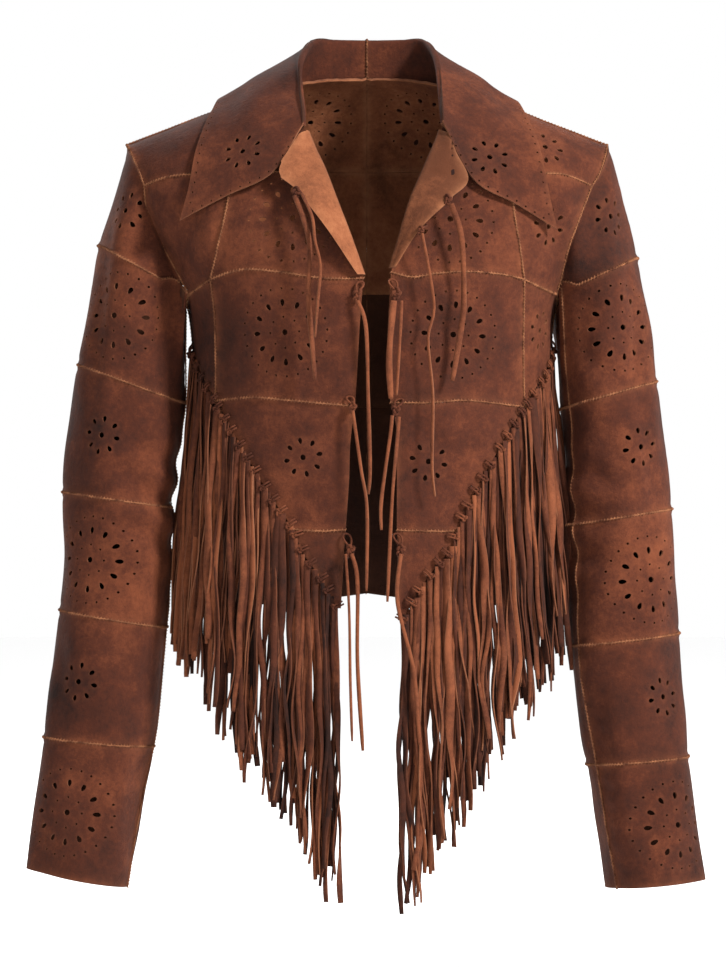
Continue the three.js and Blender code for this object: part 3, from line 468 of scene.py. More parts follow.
def seam_relief(u, v, wide, tall, sewn):
    """Lift and pucker of a panel along its sewn edges. sewn holds the share for each edge."""
    edges = {"inner": (u * wide, v * tall), "outer": ((1 - u) * wide, v * tall),
             "top": (v * tall, u * wide), "bottom": ((1 - v) * tall, u * wide)}
    total = np.zeros(len(u))
    for edge, (distance, along) in edges.items():
        if sewn[edge]:
            total += 0.55 * np.exp(-(distance / 1.8) ** 2) - 0.5 * np.exp(-((distance - 4.5) / 3.0) ** 2)
            pucker = np.sin(along * 0.62 + 2.1 * np.sin(along * 0.11)) * np.sin(along * 0.23 + wide)
            total += 0.42 * pucker * np.exp(-distance / 6.0)
    return total


# ---------------------------------------------------------------- walls of suede
def ring_of_holes(rings, turn):
    """Outlines of a motif's holes as offsets in millimetres from its middle."""
    outlines = []
    for distance, count, along, across in rings:
        sides = 12 if along > 1.5 else 7
        for k in range(count):
            angle = turn + 2 * math.pi * k / count
            radial = np.array([math.cos(angle), math.sin(angle)])
            side = np.array([-radial[1], radial[0]])
            points = []
            for s in range(sides):
                around = 2 * math.pi * s / sides
                # a petal is narrower towards the middle, like a punched drop
                drop = 1 + 0.22 * math.cos(around) * (along != across)
                out = radial * (distance + along * math.cos(around))
                points.append(out + side * across * drop * math.sin(around))
            outlines.append(np.array(points))
    return outlines


def find_uv(surface, target, start):
    """The place on a surface that shows at target, [x, z], seen from the front."""
    uv = np.array(start, float)
    step = 1e-3
    for _ in range(12):
        tests = np.array([uv, uv + [step, 0], uv + [0, step]])
        p = surface(tests[:, 0], tests[:, 1])[:, [0, 2]]
        slope = np.stack([p[1] - p[0], p[2] - p[0]], axis=1) / step
        move = np.linalg.lstsq(slope, np.asarray(target) - p[0], rcond=None)[0]
        uv = np.clip(uv + np.clip(move, -0.2, 0.2), 0.03, 0.97)
    return uv


def place_outlines(surface, middle, outlines, up=(0, 0, 1)):
    """Moves outlines given in millimetres round a middle into the surface's own u and v."""
    step = 1e-3
    tests = np.array([middle, middle + [step, 0], middle + [0, step]])
    p = surface(tests[:, 0], tests[:, 1])
    slope_u = (p[1] - p[0]) / step
    slope_v = (p[2] - p[0]) / step
    normal = unit(np.cross(slope_u, slope_v))
    above = unit(np.asarray(up, float) - normal * np.dot(up, normal))
    beside = np.cross(above, normal)
    slope = np.array([[slope_u @ beside, slope_v @ beside], [slope_u @ above, slope_v @ above]])
    back = np.linalg.inv(slope)
    placed = []
    for outline in outlines:
        uv = middle + outline @ back.T
        for _ in range(2):
            off = surface(uv[:, 0], uv[:, 1]) - p[0]
            error = outline - np.stack([off @ beside, off @ above], axis=1)
            uv = uv + np.clip(error, -3, 3) @ back.T
        placed.append(uv)
    return placed


def inside_panel(outline, wide, tall, room):
    u = outline[:, 0] * wide
    v = outline[:, 1] * tall
    return u.min() > room and v.min() > room and u.max() < wide - room and v.max() < tall - room


def flat_mesh(wide, tall, holes, step):
    """Triangles of a wide by tall rectangle with holes. Returns points and triangles."""
    columns = max(2, round(wide / step))
    rows = max(2, round(tall / step))
    xs = np.linspace(0, wide, columns + 1)
    ys = np.linspace(0, tall, rows + 1)
    border = [(x, 0) for x in xs[:-1]] + [(wide, y) for y in ys[:-1]]
    border += [(x, tall) for x in xs[:0:-1]] + [(0, y) for y in ys[:0:-1]]
    count = len(border)
    edges = [(k, (k + 1) % count) for k in range(count)]
    points = [Vector(p) for p in border]
    owner = [-1] * count
    grid = np.array([(x, y) for y in ys[1:-1] for x in xs[1:-1]]).reshape(-1, 2)
    keep = np.ones(len(grid), bool)
    for number, hole in enumerate(holes):
        scaled = hole * [wide, tall]
        middle = scaled.mean(axis=0)
        reach = np.linalg.norm(scaled - middle, axis=1).max()
        keep &= np.linalg.norm(grid - middle, axis=1) > reach + 0.3 * step
        first = len(points)
        points += [Vector(p) for p in scaled]
        owner += [number] * len(scaled)
        edges += [(first + k, first + (k + 1) % len(scaled)) for k in range(len(scaled))]
    points += [Vector(p) for p in grid[keep]]
    owner += [-1] * int(keep.sum())
    made = delaunay_2d_cdt(points, edges, [], 1, 1e-6)
    flat = np.array([tuple(p) for p in made[0]])
    triangles = np.array([f for f in made[2] if len(f) == 3])
    source = np.array([owner[o[0]] if o else -1 for o in made[3]])
    corners = source[triangles]
    filled = (corners[:, 0] >= 0) & (corners[:, 0] == corners[:, 1]) & (corners[:, 1] == corners[:, 2])
    return flat, triangles[~filled], source


def border_edges(triangles):
    """Edges used by one triangle, in that triangle's direction."""
    edges = np.concatenate([triangles[:, [0, 1]], triangles[:, [1, 2]], triangles[:, [2, 0]]])
    key = np.sort(edges, axis=1)
    order = np.lexsort((key[:, 1], key[:, 0]))
    same_next = np.zeros(len(order), bool)
    same_next[:-1] = (key[order[:-1]] == key[order[1:]]).all(axis=1)
    same_before = np.concatenate([[False], same_next[:-1]])
    return edges[order[~(same_next | same_before)]]


def new_mesh(name, points, faces, materials, slots, sharp=(), values=None):
    """Makes a mesh object from points in millimetres. values are float attributes by name."""
    mesh = bpy.data.meshes.new(name)
    mesh.from_pydata((np.asarray(points) * MM).tolist(), [], [list(map(int, f)) for f in faces])
    for material in materials:
        mesh.materials.append(material)
    mesh.polygons.foreach_set("material_index", np.asarray(slots, dtype=np.int32))
    mesh.polygons.foreach_set("use_smooth", np.ones(len(mesh.polygons), dtype=bool))
    if len(sharp):
        wanted = {(min(a, b), max(a, b)) for a, b in sharp}
        flags = [tuple(sorted(e.vertices)) in wanted for e in mesh.edges]
        mesh.edges.foreach_set("use_edge_sharp", flags)
    for key, data in (values or {}).items():
        layer = mesh.attributes.new(key, "FLOAT", "POINT")
        layer.data.foreach_set("value", np.asarray(data, dtype=np.float32))
    mesh.update()
    piece = bpy.data.objects.new(name, mesh)
    bpy.context.scene.collection.objects.link(piece)
    return piece


def suede_wall(name, wide, tall, surface, normals, relief, holes, materials, tone, step=MESH_STEP):
    """A wall of suede over a surface of u and v. Returns the piece and its flat area in m2."""
    flat, triangles, source = flat_mesh(wide, tall, holes, step)
    u = flat[:, 0] / wide
    v = flat[:, 1] / tall
    base = surface(u, v)
    normal = normals(u, v, base)
    outer = base + normal * relief(u, v, base, normal)[:, None]
    inner = outer - normal * LEATHER
    count = len(outer)
    a, b, c = (outer[triangles[:, k]] for k in range(3))
    turned = np.cross(b - a, c - a)
    area = np.linalg.norm(turned, axis=1).sum() / 2 * MM * MM
    if (turned * normal[triangles[:, 0]]).sum() < 0:
        triangles = triangles[:, ::-1]
    rim = border_edges(triangles)
    faces = triangles.tolist()
    faces += (triangles[:, ::-1] + count).tolist()
    faces += [[q, p, p + count, q + count] for p, q in rim.tolist()]
    slots = [0] * len(triangles) + [1] * len(triangles) + [2] * len(rim)
    sharp = [tuple(e) for e in rim.tolist()] + [(p + count, q + count) for p, q in rim.tolist()]
    wear = np.exp(-edge_distance(u, v, wide, tall) / 3.0)
    wear[source >= 0] = np.maximum(wear[source >= 0], 0.35)
    values = {"wear": np.tile(wear, 2), "tone": np.full(2 * count, tone)}
    piece = new_mesh(name, np.concatenate([outer, inner]), faces, materials, slots, sharp, values)
    return piece, area


def finish_piece(piece, node):
    """Hangs a piece of suede on the root and hides the CAD part that it stands for. Its stated size
    is enlarged where the rectangle can't hold the area.
    """
    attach(piece, "root")
    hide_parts(node)


# ---------------------------------------------------------------- materials
def start_material(name):
    """A new material, its nodes and links, its shader and the place that patterns are read from."""
    material = bpy.data.materials.new(name)
    material.use_nodes = True
    nodes = material.node_tree.nodes
    return (material, nodes, material.node_tree.links, nodes["Principled BSDF"],
            nodes.new("ShaderNodeTexCoord"))


def set_inputs(node, values):
    for key, value in values.items():
        node.inputs[key].default_value = value


def add_node(nodes, kind, values):
    node = nodes.new(kind)
    set_inputs(node, values)
    return node


def colour_ramp(nodes, first, last):
    """A ramp between two stops, each a position and a colour."""
    ramp = nodes.new("ShaderNodeValToRGB")
    for stop, (position, colour) in zip(ramp.color_ramp.elements, (first, last)):
        stop.position = position
        stop.color = (*colour, 1)
    return ramp


def suede_material(name, dark, middle, light, worn, nap=1.0, rough=0.93, sheen=0.25, mottle=1.0):
    """Brushed hide: a mottled nap, fine fibres, and paler worn edges."""
    material, nodes, links, shader, place = start_material(name)

    def noise(scale, detail, roughness=0.55, distortion=0.0):
        node = add_node(nodes, "ShaderNodeTexNoise", {"Scale": scale, "Detail": detail,
                                                      "Roughness": roughness, "Distortion": distortion})
        links.new(place.outputs["Object"], node.inputs["Vector"])
        return node.outputs["Fac"]

    def maths(operation, first, second):
        node = nodes.new("ShaderNodeMath")
        node.operation = operation
        for socket, value in zip(node.inputs, (first, second)):
            if isinstance(value, (int, float)):
                socket.default_value = value
            else:
                links.new(value, socket)
        return node.outputs[0]

    def attribute(key):
        node = nodes.new("ShaderNodeAttribute")
        node.attribute_name = key
        return node.outputs["Fac"]

    clouds = noise(9, 2, 0.5)
    brushed = noise(48, 6, 0.68, 0.15)
    speckle = noise(260, 4, 0.7)
    fibres = noise(1500, 3, 0.7)
    blotches = maths("MULTIPLY", maths("ADD", clouds, -0.5), 0.7 * mottle)
    strokes = maths("MULTIPLY", maths("ADD", brushed, -0.5), 0.62 * mottle)
    grain = maths("MULTIPLY", maths("ADD", maths("ADD", speckle, fibres), -1.0), 0.42)
    tone = maths("ADD", maths("ADD", blotches, strokes), maths("ADD", grain, attribute("tone")))
    ramp = colour_ramp(nodes, (0.12, dark), (0.9, light))
    centre = ramp.color_ramp.elements.new(0.5)
    centre.color = (*middle, 1)
    links.new(tone, ramp.inputs["Fac"])
    wear = nodes.new("ShaderNodeMix")
    wear.data_type = "RGBA"
    rubbed = maths("MULTIPLY", attribute("wear"), maths("ADD", maths("MULTIPLY", brushed, 1.3), -0.25))
    links.new(maths("MULTIPLY", rubbed, 0.75), wear.inputs["Factor"])
    links.new(ramp.outputs["Color"], wear.inputs["A"])
    wear.inputs["B"].default_value = (*worn, 1)
    links.new(wear.outputs["Result"], shader.inputs["Base Color"])
    links.new(maths("ADD", rough - 0.05, maths("MULTIPLY", brushed, 0.1)), shader.inputs["Roughness"])
    set_inputs(shader, {"Specular IOR Level": 0.18, "Sheen Weight": sheen, "Sheen Roughness": 0.45,
                        "Sheen Tint": (*worn, 1)})

    bumps = add_node(nodes, "ShaderNodeBump", {"Strength": 0.7 * nap, "Distance": 0.0011})
    links.new(speckle, bumps.inputs["Height"])
    fine = add_node(nodes, "ShaderNodeBump", {"Strength": 0.5 * nap, "Distance": 0.0004})
    links.new(fibres, fine.inputs["Height"])
    links.new(bumps.outputs["Normal"], fine.inputs["Normal"])
    links.new(fine.outputs["Normal"], shader.inputs["Normal"])
    return material


def thread_material():
    """Twisted tan thread, dirtier in places."""
    material, nodes, links, shader, place = start_material("twisted_thread")
    noise = add_node(nodes, "ShaderNodeTexNoise", {"Scale": 130, "Detail": 4})
    links.new(place.outputs["Object"], noise.inputs["Vector"])
    ramp = colour_ramp(nodes, (0.3, (0.050, 0.0145, 0.0058)), (0.68, (0.205, 0.080, 0.035)))
    links.new(noise.outputs["Fac"], ramp.inputs["Fac"])
    links.new(ramp.outputs["Color"], shader.inputs["Base Color"])
    set_inputs(shader, {"Roughness": 0.85, "Specular IOR Level": 0.15})
    bump = add_node(nodes, "ShaderNodeBump", {"Strength": 0.5, "Distance": 0.0003})
    fibre = add_node(nodes, "ShaderNodeTexNoise", {"Scale": 2600})
    links.new(place.outputs["Object"], fibre.inputs["Vector"])
    links.new(fibre.outputs["Fac"], bump.inputs["Height"])
    links.new(bump.outputs["Normal"], shader.inputs["Normal"])
    return material


NAP = suede_material("suede_nap", (0.0100, 0.0021, 0.0007), (0.0420, 0.0090, 0.0030),
                     (0.108, 0.028, 0.0100), (0.135, 0.042, 0.017), sheen=0.03, mottle=1.35)
# The insides: the flesh side darkened far below its own paler colour (PALE_FLESH), as painted shade.
FLESH_WITH_PAINTED_SHADE = suede_material("suede_flesh_side_painted_shade", (0.010, 0.0024, 0.0008), (0.027, 0.0074, 0.0026),
                       (0.05, 0.016, 0.006), (0.07, 0.025, 0.010), sheen=0.02, mottle=0.9)
PALE_FLESH = suede_material("suede_pale_flesh", (0.062, 0.0175, 0.0060), (0.150, 0.047, 0.0180),
                            (0.245, 0.090, 0.038), (0.28, 0.115, 0.052), sheen=0.03, mottle=1.5)
CUT = suede_material("suede_cut_edge", (0.028, 0.007, 0.0026), (0.075, 0.022, 0.009),
                     (0.150, 0.055, 0.025), (0.19, 0.078, 0.038), nap=0.6, sheen=0.03)
STRIP = suede_material("suede_strip", (0.0080, 0.0018, 0.0006), (0.0440, 0.0103, 0.0036),
                       (0.140, 0.040, 0.0152), (0.165, 0.054, 0.023), sheen=0.03, mottle=1.1)
THREAD = thread_material()


# ---------------------------------------------------------------- body panels
def shoulder_seam():
    outs = [NECK_HALF + (SHOULDER_TIP - NECK_HALF) * t for t in (0, 0.15, 0.35, 0.6, 0.8, 1)]
    return [[out, float(shoulder_height(out))] for out in outs]


def arm_base(side, start):
    bottom = FRONT_SEAMS[side]["side"][0]
    return [start, [(start[0] + bottom[0]) / 2 + 2.2, (start[1] + bottom[1]) / 2], bottom]


def front_seams(side):
    seams = dict(FRONT_SEAMS[side])
    seams["shoulder"] = shoulder_seam()
    seams["armBase"] = arm_base(side, seams["chestOut"][-1])
    seams["hemSideBack"] = seams["hemSide"][::-1]
    seams["tipEnd"] = [seams["edgeTip"][-1], seams["hemTip"][-1]]
    return seams


def back_seams(side):
    seams = dict(BACK_SEAMS)

    def at_side(z):
        return [float(table_value(BODY["z"], BODY[side], z)), z]

    for name, start, end in (("middleYoke", "neck", "yoke"), ("middleUpper", "yoke", "chest"),
                             ("middleMid", "chest", "waist"), ("middleLow", "waist", "hem")):
        seams[name] = [BACK_SEAMS[start][0], BACK_SEAMS[end][0]]
    seams["shoulder"] = shoulder_seam()
    seams["armBase"] = arm_base(side, BACK_SEAMS["chest"][-1])
    seams["waistOut"] = BACK_SEAMS["waist"] + [at_side(WAIST_SIDE)]
    seams["hemOut"] = BACK_SEAMS["hem"] + [at_side(HEM_SIDE)]
    seams["sideMid"] = [FRONT_SEAMS[side]["side"][0], at_side(-225.0), at_side(WAIST_SIDE)]
    seams["sideLow"] = [at_side(WAIST_SIDE), at_side(-350.0), at_side(HEM_SIDE)]
    return seams


def panel_surface(side, face, panel, seams):
    """The panel's surface over u, from its inner to its outer edge, and v, downwards."""
    sign = SIDES[side]
    edges = {edge: joined([seams[name] for name in panel[edge]]) for edge in EDGES}
    rounded = panel.get("rounded", False)

    def to_plane(p):
        if rounded:
            return np.stack([p[..., 0], shoulder_height(p[..., 0]) - p[..., 1]], axis=-1)
        return np.stack([angle_of(sign, p[..., 0], p[..., 1]), p[..., 1]], axis=-1)

    ends = (("inner", 0), ("outer", 0), ("inner", 1), ("outer", 1))
    corners = [to_plane(edges[edge](t)) for edge, t in ends]

    def surface(u, v):
        u = np.clip(u, 0, 1)[:, None]
        v = np.clip(v, 0, 1)[:, None]
        if rounded:
            v = v * v
        p = to_plane(edges["inner"](v[:, 0])) * (1 - u) + to_plane(edges["outer"](v[:, 0])) * u
        p = p + to_plane(edges["top"](u[:, 0])) * (1 - v) + to_plane(edges["bottom"](u[:, 0])) * v
        a, b, c, d = corners
        p = p - (a * (1 - u) * (1 - v) + b * u * (1 - v) + c * (1 - u) * v + d * u * v)
        if rounded:
            z = shoulder_height(p[:, 0]) - np.maximum(p[:, 1], 0)
            return body_point(sign, face, angle_of(sign, p[:, 0], z), z)
        return body_point(sign, face, p[:, 0], p[:, 1])

    return surface


def surface_size(surface):
    """Width along a line six tenths of the way down and height half way across, in millimetres."""
    t = np.linspace(0.002, 0.998, 60)
    across = surface(t, np.full(60, 0.6))
    down = surface(np.full(60, 0.5), t)
    return (np.linalg.norm(np.diff(across, axis=0), axis=1).sum(),
            np.linalg.norm(np.diff(down, axis=0), axis=1).sum())


def inset_surface(surface, wide, tall):
    """The same surface, drawn in from its seams by a hair."""
    def inner(u, v):
        du = SEAM_INSET / wide
        dv = SEAM_INSET / tall
        return surface(du + (1 - 2 * du) * u, dv + (1 - 2 * dv) * v)
    return inner


def motif_holes(name, surface, wide, tall, start=(0.5, 0.5), up=(0, 0, 1)):
    holes = []
    for table, rings, turn in ((FLOWERS, FLOWER_RINGS, 0.2), (MEDALLIONS, MEDALLION_RINGS, 0.05)):
        for target in table.get(name, []):
            middle = find_uv(surface, target, start)
            outlines = place_outlines(surface, middle, ring_of_holes(rings, turn), up)
            holes += [o for o in outlines if inside_panel(o, wide, tall, 4.0)]
    return holes


def make_body_panels(side):
    random_tone = random.Random(SEEDS["panels"][side])
    for face, panels, seams in ((-1, FRONT_PANELS, front_seams(side)), (1, BACK_PANELS, back_seams(side))):
        for short, panel in panels.items():
            name = f"{side}_{short}"
            whole = panel_surface(side, face, panel, seams)
            wide, tall = surface_size(whole)
            surface = inset_surface(whole, wide, tall)
            sewn = {edge: edge not in panel["free"] for edge in EDGES}

            def relief(u, v, p, normal):
                low = seam_relief(u, v, wide, tall, sewn)
                fade = smooth_step(edge_distance(u, v, wide, tall), 0, 9)
                loose = 0.35 + 0.65 * fade
                return low + (1.3 * undulation(p) + 1.3 * crease_depth(p, normal)) * loose

            holes = motif_holes(name, surface, wide, tall)
            tone = NOMINAL_TONE + random_tone.uniform(-0.07, 0.07)
            # The upper back's inside keeps the flesh side's own paler colour; every other inside gets the
            # flesh side darkened as painted shade.
            inside = PALE_FLESH if short in ("back_yoke", "back_upper") else FLESH_WITH_PAINTED_SHADE
            piece, area = suede_wall(f"{name}_suede", wide, tall, surface, lambda u, v, p: body_normal(p),
                                     relief, holes, [NAP, inside, CUT], tone)
            finish_piece(piece, name)


# ---------------------------------------------------------------- sleeves
def armhole_loop(side):
    front = front_seams(side)
    back = back_seams(side)
    front_curve = joined([front["armTop"], front["armLow"], front["armBase"]])
    back_curve = joined([back["armTop"], back["armLow"], back["armBase"]])

    def loop(degrees):
        turn = np.mod(degrees, 360.0)
        is_front = turn <= 180
        share = np.where(is_front, turn, 360 - turn) / 180
        flat = np.where(is_front[:, None], front_curve(share), back_curve(share))
        angle = angle_of(SIDES[side], flat[:, 0], flat[:, 1])
        ahead = body_point(SIDES[side], -1, angle, flat[:, 1])
        behind = body_point(SIDES[side], 1, angle, flat[:, 1])
        return np.where(is_front[:, None], ahead, behind)

    return loop


def sleeve_surface(side):
    """A point of the sleeve by degrees from its top and level: 0 armhole, 1 cap seam, 6 cuff."""
    loop = armhole_loop(side)
    rings = SLEEVE_RINGS[side]
    sign = SIDES[side]
    ends = loop(np.array([0.0, 180.0]))
    centre = ends.mean(axis=0)

    def level(k, degrees):
        away = np.abs(np.mod(degrees + 180, 360) - 180)
        top = loop(degrees)
        gap = SEAM_GAP + UNDERARM_ROOM * smooth_step(away, 90, 160)
        top = top + np.array([1, 0, 0]) * (sign * gap)[:, None]
        top = top + (centre - top) * 0.004
        if k == 0:
            return top
        ring = rings[k - 1]
        turn = np.radians(degrees)
        across = np.cos(turn) * ring["half"]
        tilt = math.radians(ring["tilt"])
        x = sign * (ring["x"] + across * math.cos(tilt))
        y = ring["y"] - np.sin(turn) * ring["depth"]
        z = ring["z"] + across * math.sin(tilt)
        p = np.stack([x, y, z], axis=-1)
        if k > 1:
            return p
        under = np.clip((away - CAP_NARROWS) / (CAP_CLOSED - CAP_NARROWS), 0, 1)
        return p + (top - p) * under[:, None]

    def surface(degrees, at):
        out = np.zeros((len(degrees), 3))
        base = np.clip(np.floor(at), 0, 5).astype(int)
        for k in range(6):
            chosen = base == k
            if not chosen.any():
                continue
            d = degrees[chosen]
            t = (at[chosen] - k)[:, None]
            p1 = level(k, d)
            p2 = level(k + 1, d)
            p0 = level(k - 1, d) if k > 1 else 2 * p1 - p2
            p3 = level(k + 2, d) if 0 < k < 5 else 2 * p2 - p1
            out[chosen] = catmull(p0, p1, p2, p3, t)
        return out

    return surface


def sleeve_normals(surface, degrees, at, p):
    around = surface(degrees + 2, at) - surface(degrees - 2, at)
    along = surface(degrees, np.clip(at + 0.03, 0, 6)) - surface(degrees, np.clip(at - 0.03, 0, 6))
    normal = unit(np.cross(around, along))
    middle = (surface(degrees + 180, at) + p) / 2
    flip = ((p - middle) * normal).sum(axis=1) < 0
    normal[flip] *= -1
    return normal


def sleeve_relief(side, degrees, at, p, normal, u, v, wide, tall, sewn):
    """Pucker at the seams, soft folds round the elbow and hanging folds along the arm."""
    total = seam_relief(u, v, wide, tall, sewn)
    turn = np.radians(degrees)
    sign = SIDES[side]
    elbow = np.exp(-((at - 3.0) / 0.55) ** 2) * smooth_step(np.cos(turn), 0.3, -0.8)
    total += 2.6 * elbow * np.sin(at * 17 + 1.3 * np.sin(turn * 2 + sign))
    drag = np.exp(-((at - 1.4) / 0.8) ** 2)
    total += 2.0 * drag * np.sin(turn * 3 + at * 3.2 + sign)
    total += 1.5 * np.sin(turn * 2 + at * 1.7 + 2 * sign) + 0.9 * np.sin(turn * 5 - at * 4.1)
    low = smooth_step(at, 4.6, 5.9)
    total += 1.6 * low * np.sin(turn * 4 + at * 2.2)
    fade = smooth_step(np.minimum(v, 1 - v) * tall, 0, 9)
    inner_arm = smooth_step(-np.cos(turn), 0.2, 0.9) * smooth_step(2.4 - at, 0, 1.2)
    total = total * (1 - 0.8 * inner_arm)
    return total + (0.7 * undulation(p) + crease_depth(p, normal)) * (0.4 + 0.6 * fade)


def make_sleeve(side):
    random_tone = random.Random(SEEDS["sleeves"][side])
    whole = sleeve_surface(side)
    seam = SLEEVE_SEAM[side]
    for k, short in enumerate(SLEEVE_PIECES):
        name = f"{side}_sleeve_{k + 1}_{short}"
        start, span = (-CAP_REACH, 2 * CAP_REACH) if k == 0 else (seam - 360, 360.0)
        inset = 0.004 if k == 0 else 0.0015

        def surface(u, v):
            around = np.clip(u, 0, 1)
            if k > 0:
                around = 0.0006 + 0.9988 * around
            down = k + inset + (1 - 2 * inset) * np.clip(v, 0, 1)
            return whole(start + span * around, down)

        def normals(u, v, p):
            down = k + inset + (1 - 2 * inset) * v
            out = sleeve_normals(whole, start + span * u, down, p)
            if k == 0:
                body = body_normal(p)
                agree = smooth_step((body * out).sum(axis=1), 0.2, 0.8)
                near = (agree * (1 - smooth_step(down, 0, 0.6)))[:, None]
                out = unit(body * near + out * (1 - near))
            return out

        wide, tall = surface_size(surface)
        sewn = {"inner": True, "outer": True, "top": True, "bottom": k < 5}

        def relief(u, v, p, normal):
            return sleeve_relief(side, start + span * u, k + v, p, normal, u, v, wide, tall, sewn)

        facing = (0.5 if k == 0 else (70 - start) / span, 0.5)
        holes = motif_holes(name, surface, wide, tall, facing)
        tone = NOMINAL_TONE + random_tone.uniform(-0.06, 0.06)
        piece, area = suede_wall(f"{name}_suede", wide, tall, surface, normals, relief, holes,
                                 [NAP, FLESH_WITH_PAINTED_SHADE, CUT], tone)
        finish_piece(piece, name)


# ---------------------------------------------------------------- collar and lapels
def clear_of_body(p, wanted):
    """Moves points out until they are clear of the body's form by what is wanted."""
    lifted = np.array(p, float)
    step = 0.2
    for _ in range(12):
        normal = body_normal(lifted)
        here = outside(lifted)
        rate = (outside(lifted + normal * step) - here) / step
        lack = np.clip(wanted - here / rate, 0, LEAF_ROOM)
        lifted = lifted + normal * lack[:, None]
    return lifted


def collar_sections(side):
    sign = SIDES[side]
    sections = []
    for row in COLLAR[side]:
        base, fold, mid, edge = (np.array([sign * row[k][0], row[k][1], row[k][2]], float)
                                 for k in ("base", "fold", "mid", "edge"))
        out = unit((mid - fold) * [1, 1, 0])
        rise = max(0.0, fold[2] - base[2])
        radius = min(COLLAR_FOLD, 1.6 + rise * 0.2)
        inside = fold - out * radius - [0, 0, min(radius, rise * 0.5)]
        beyond = fold + out * radius - [0, 0, radius]
        under = base + unit(base - inside) * 5.0
        stand = clear_of_body(np.array([under, base, inside, fold]), STAND_ROOM)
        leaf = clear_of_body(np.array([beyond, mid, (mid + edge) / 2, edge]), LEAF_ROOM)
        sections.append(np.concatenate([stand, leaf]))
    return np.array(sections)


def grid_surface(grid):
    """A smooth surface through a grid of points: u along the rows, v across them."""
    rows, columns, _ = grid.shape

    def along(count, t):
        k = np.clip(np.floor(t).astype(int), 0, count - 2)
        return (t - k)[:, None], [np.clip(k + d, 0, count - 1) for d in (-1, 0, 1, 2)]

    def surface(u, v):
        s, r = along(rows, np.clip(u, 0, 1) * (rows - 1))
        t, c = along(columns, np.clip(v, 0, 1) * (columns - 1))
        lines = [catmull(*(grid[r[i], c[j]] for j in range(4)), t) for i in range(4)]
        return catmull(*lines, s)

    return surface


def free_normals(surface, u, v, away):
    """Normals of a free-standing surface, pointing away from a point."""
    step = 2e-3
    du = surface(np.clip(u + step, 0, 1), v) - surface(np.clip(u - step, 0, 1), v)
    dv = surface(u, np.clip(v + step, 0, 1)) - surface(u, np.clip(v - step, 0, 1))
    return unit(np.cross(du, dv)) * away


def dots_along(surface):
    """Tiny punched dots just inside the leaf's outer edge and its front edge."""
    holes = []
    t = np.linspace(0, 1, 400)
    edge_line = surface(t, np.full(400, 1.0))
    front_line = surface(np.full(400, 1.0), 0.5 + 0.5 * t)
    for line, fixed in ((edge_line, "v"), (front_line, "u")):
        length = np.concatenate([[0], np.cumsum(np.linalg.norm(np.diff(line, axis=0), axis=1))])
        for at in np.arange(9.0, length[-1] - 5, 9.4):
            share = float(np.interp(at, length, t))
            middle = np.array([share, 1 - 0.035]) if fixed == "v" else np.array([1 - 0.02, 0.5 + 0.5 * share])
            dot = [np.array([[math.cos(a), math.sin(a)] for a in np.arange(7) * 2 * math.pi / 7]) * 0.95]
            holes += place_outlines(surface, middle, dot)
    return holes


def make_collar(side):
    name = f"{side}_collar"
    surface = grid_surface(collar_sections(side))
    wide, tall = surface_size(surface)
    sign = SIDES[side]
    test = free_normals(surface, np.array([0.9]), np.array([0.9]), 1)[0]
    away = 1 if test[1] < 0 else -1

    def normals(u, v, p):
        return free_normals(surface, u, v, away)

    def relief(u, v, p, normal):
        turn_up = 1.2 * smooth_step(v, 0.7, 1.0) * np.sin(u * 9 + sign)
        return (0.5 * undulation(p) + turn_up) * smooth_step(u, 0, 0.06)

    holes = motif_holes(name, surface, wide, tall, (0.8, 0.75))
    holes += [o for o in dots_along(surface) if inside_panel(o, wide, tall, 0.8)]
    piece, area = suede_wall(f"{name}_suede", wide, tall, surface, normals, relief, holes,
                             [NAP, FLESH_WITH_PAINTED_SHADE, CUT], 0.5, step=3.2)
    finish_piece(piece, name)


def make_lapel(side):
    name = f"{side}_lapel"
    sign = SIDES[side]
    table = LAPELS[side]
    roll = even_reader(spline_points(table["roll"]))
    free = even_reader(spline_points(table["free"]))
    stops = np.linspace(0, 1, len(table["stand"]))
    turn_share = 0.2      # share of the width taken by the turn at the roll line

    def surface(u, v):
        u = np.clip(u, 0, 1)
        v = np.clip(v, 0, 1)
        lift = LAP + table_value(stops, table["stand"], v)
        inner = roll(v)
        outer = free(v)
        over = np.clip((u - turn_share) / (1 - turn_share), 0, 1)
        flat = inner + (outer - inner) * over[:, None]
        p = body_point(sign, -1, angle_of(sign, flat[:, 0], flat[:, 1]), flat[:, 1])
        normal = body_normal(p)
        rise = LAP + (lift - LAP) * np.sin(over * math.pi / 2) + LEATHER / 2
        # the turn: half a circle from behind the panel's edge to over it
        turning = np.clip(1 - u / turn_share, 0, 1) * math.pi
        radius = (LEATHER + 2 * LAP) / 2 + 0.4
        towards = unit((inner - outer) * np.ones(2))
        side_way = np.stack([sign * towards[:, 0], np.zeros(len(u)), towards[:, 1]], axis=-1)
        bend = (side_way * (np.sin(turning) * radius)[:, None]
                + normal * ((np.cos(turning) - 1) * radius)[:, None])
        return p + normal * rise[:, None] + bend

    wide, tall = surface_size(surface)
    test = free_normals(surface, np.array([0.7]), np.array([0.4]), 1)[0]
    away = 1 if test[1] < 0 else -1

    def normals(u, v, p):
        return free_normals(surface, u, v, away)

    def relief(u, v, p, normal):
        wave = 0.7 * np.sin(v * 11 + sign) * smooth_step(u, 0.4, 1)
        seam = -0.9 * np.exp(-((v - 0.3 - 0.05 * u) * tall / 2.0) ** 2) * smooth_step(u, 0.2, 0.3)
        return LEATHER / 2 + wave + seam + 0.3 * undulation(p)

    # The left lapel is darker, tone 0.2, as painted shade.
    tone = 0.5 if side == "right" else 0.2
    piece, area = suede_wall(f"{name}_suede", wide, tall, surface, normals, relief, [],
                             [PALE_FLESH, NAP, CUT], tone, step=2.6)
    finish_piece(piece, name)


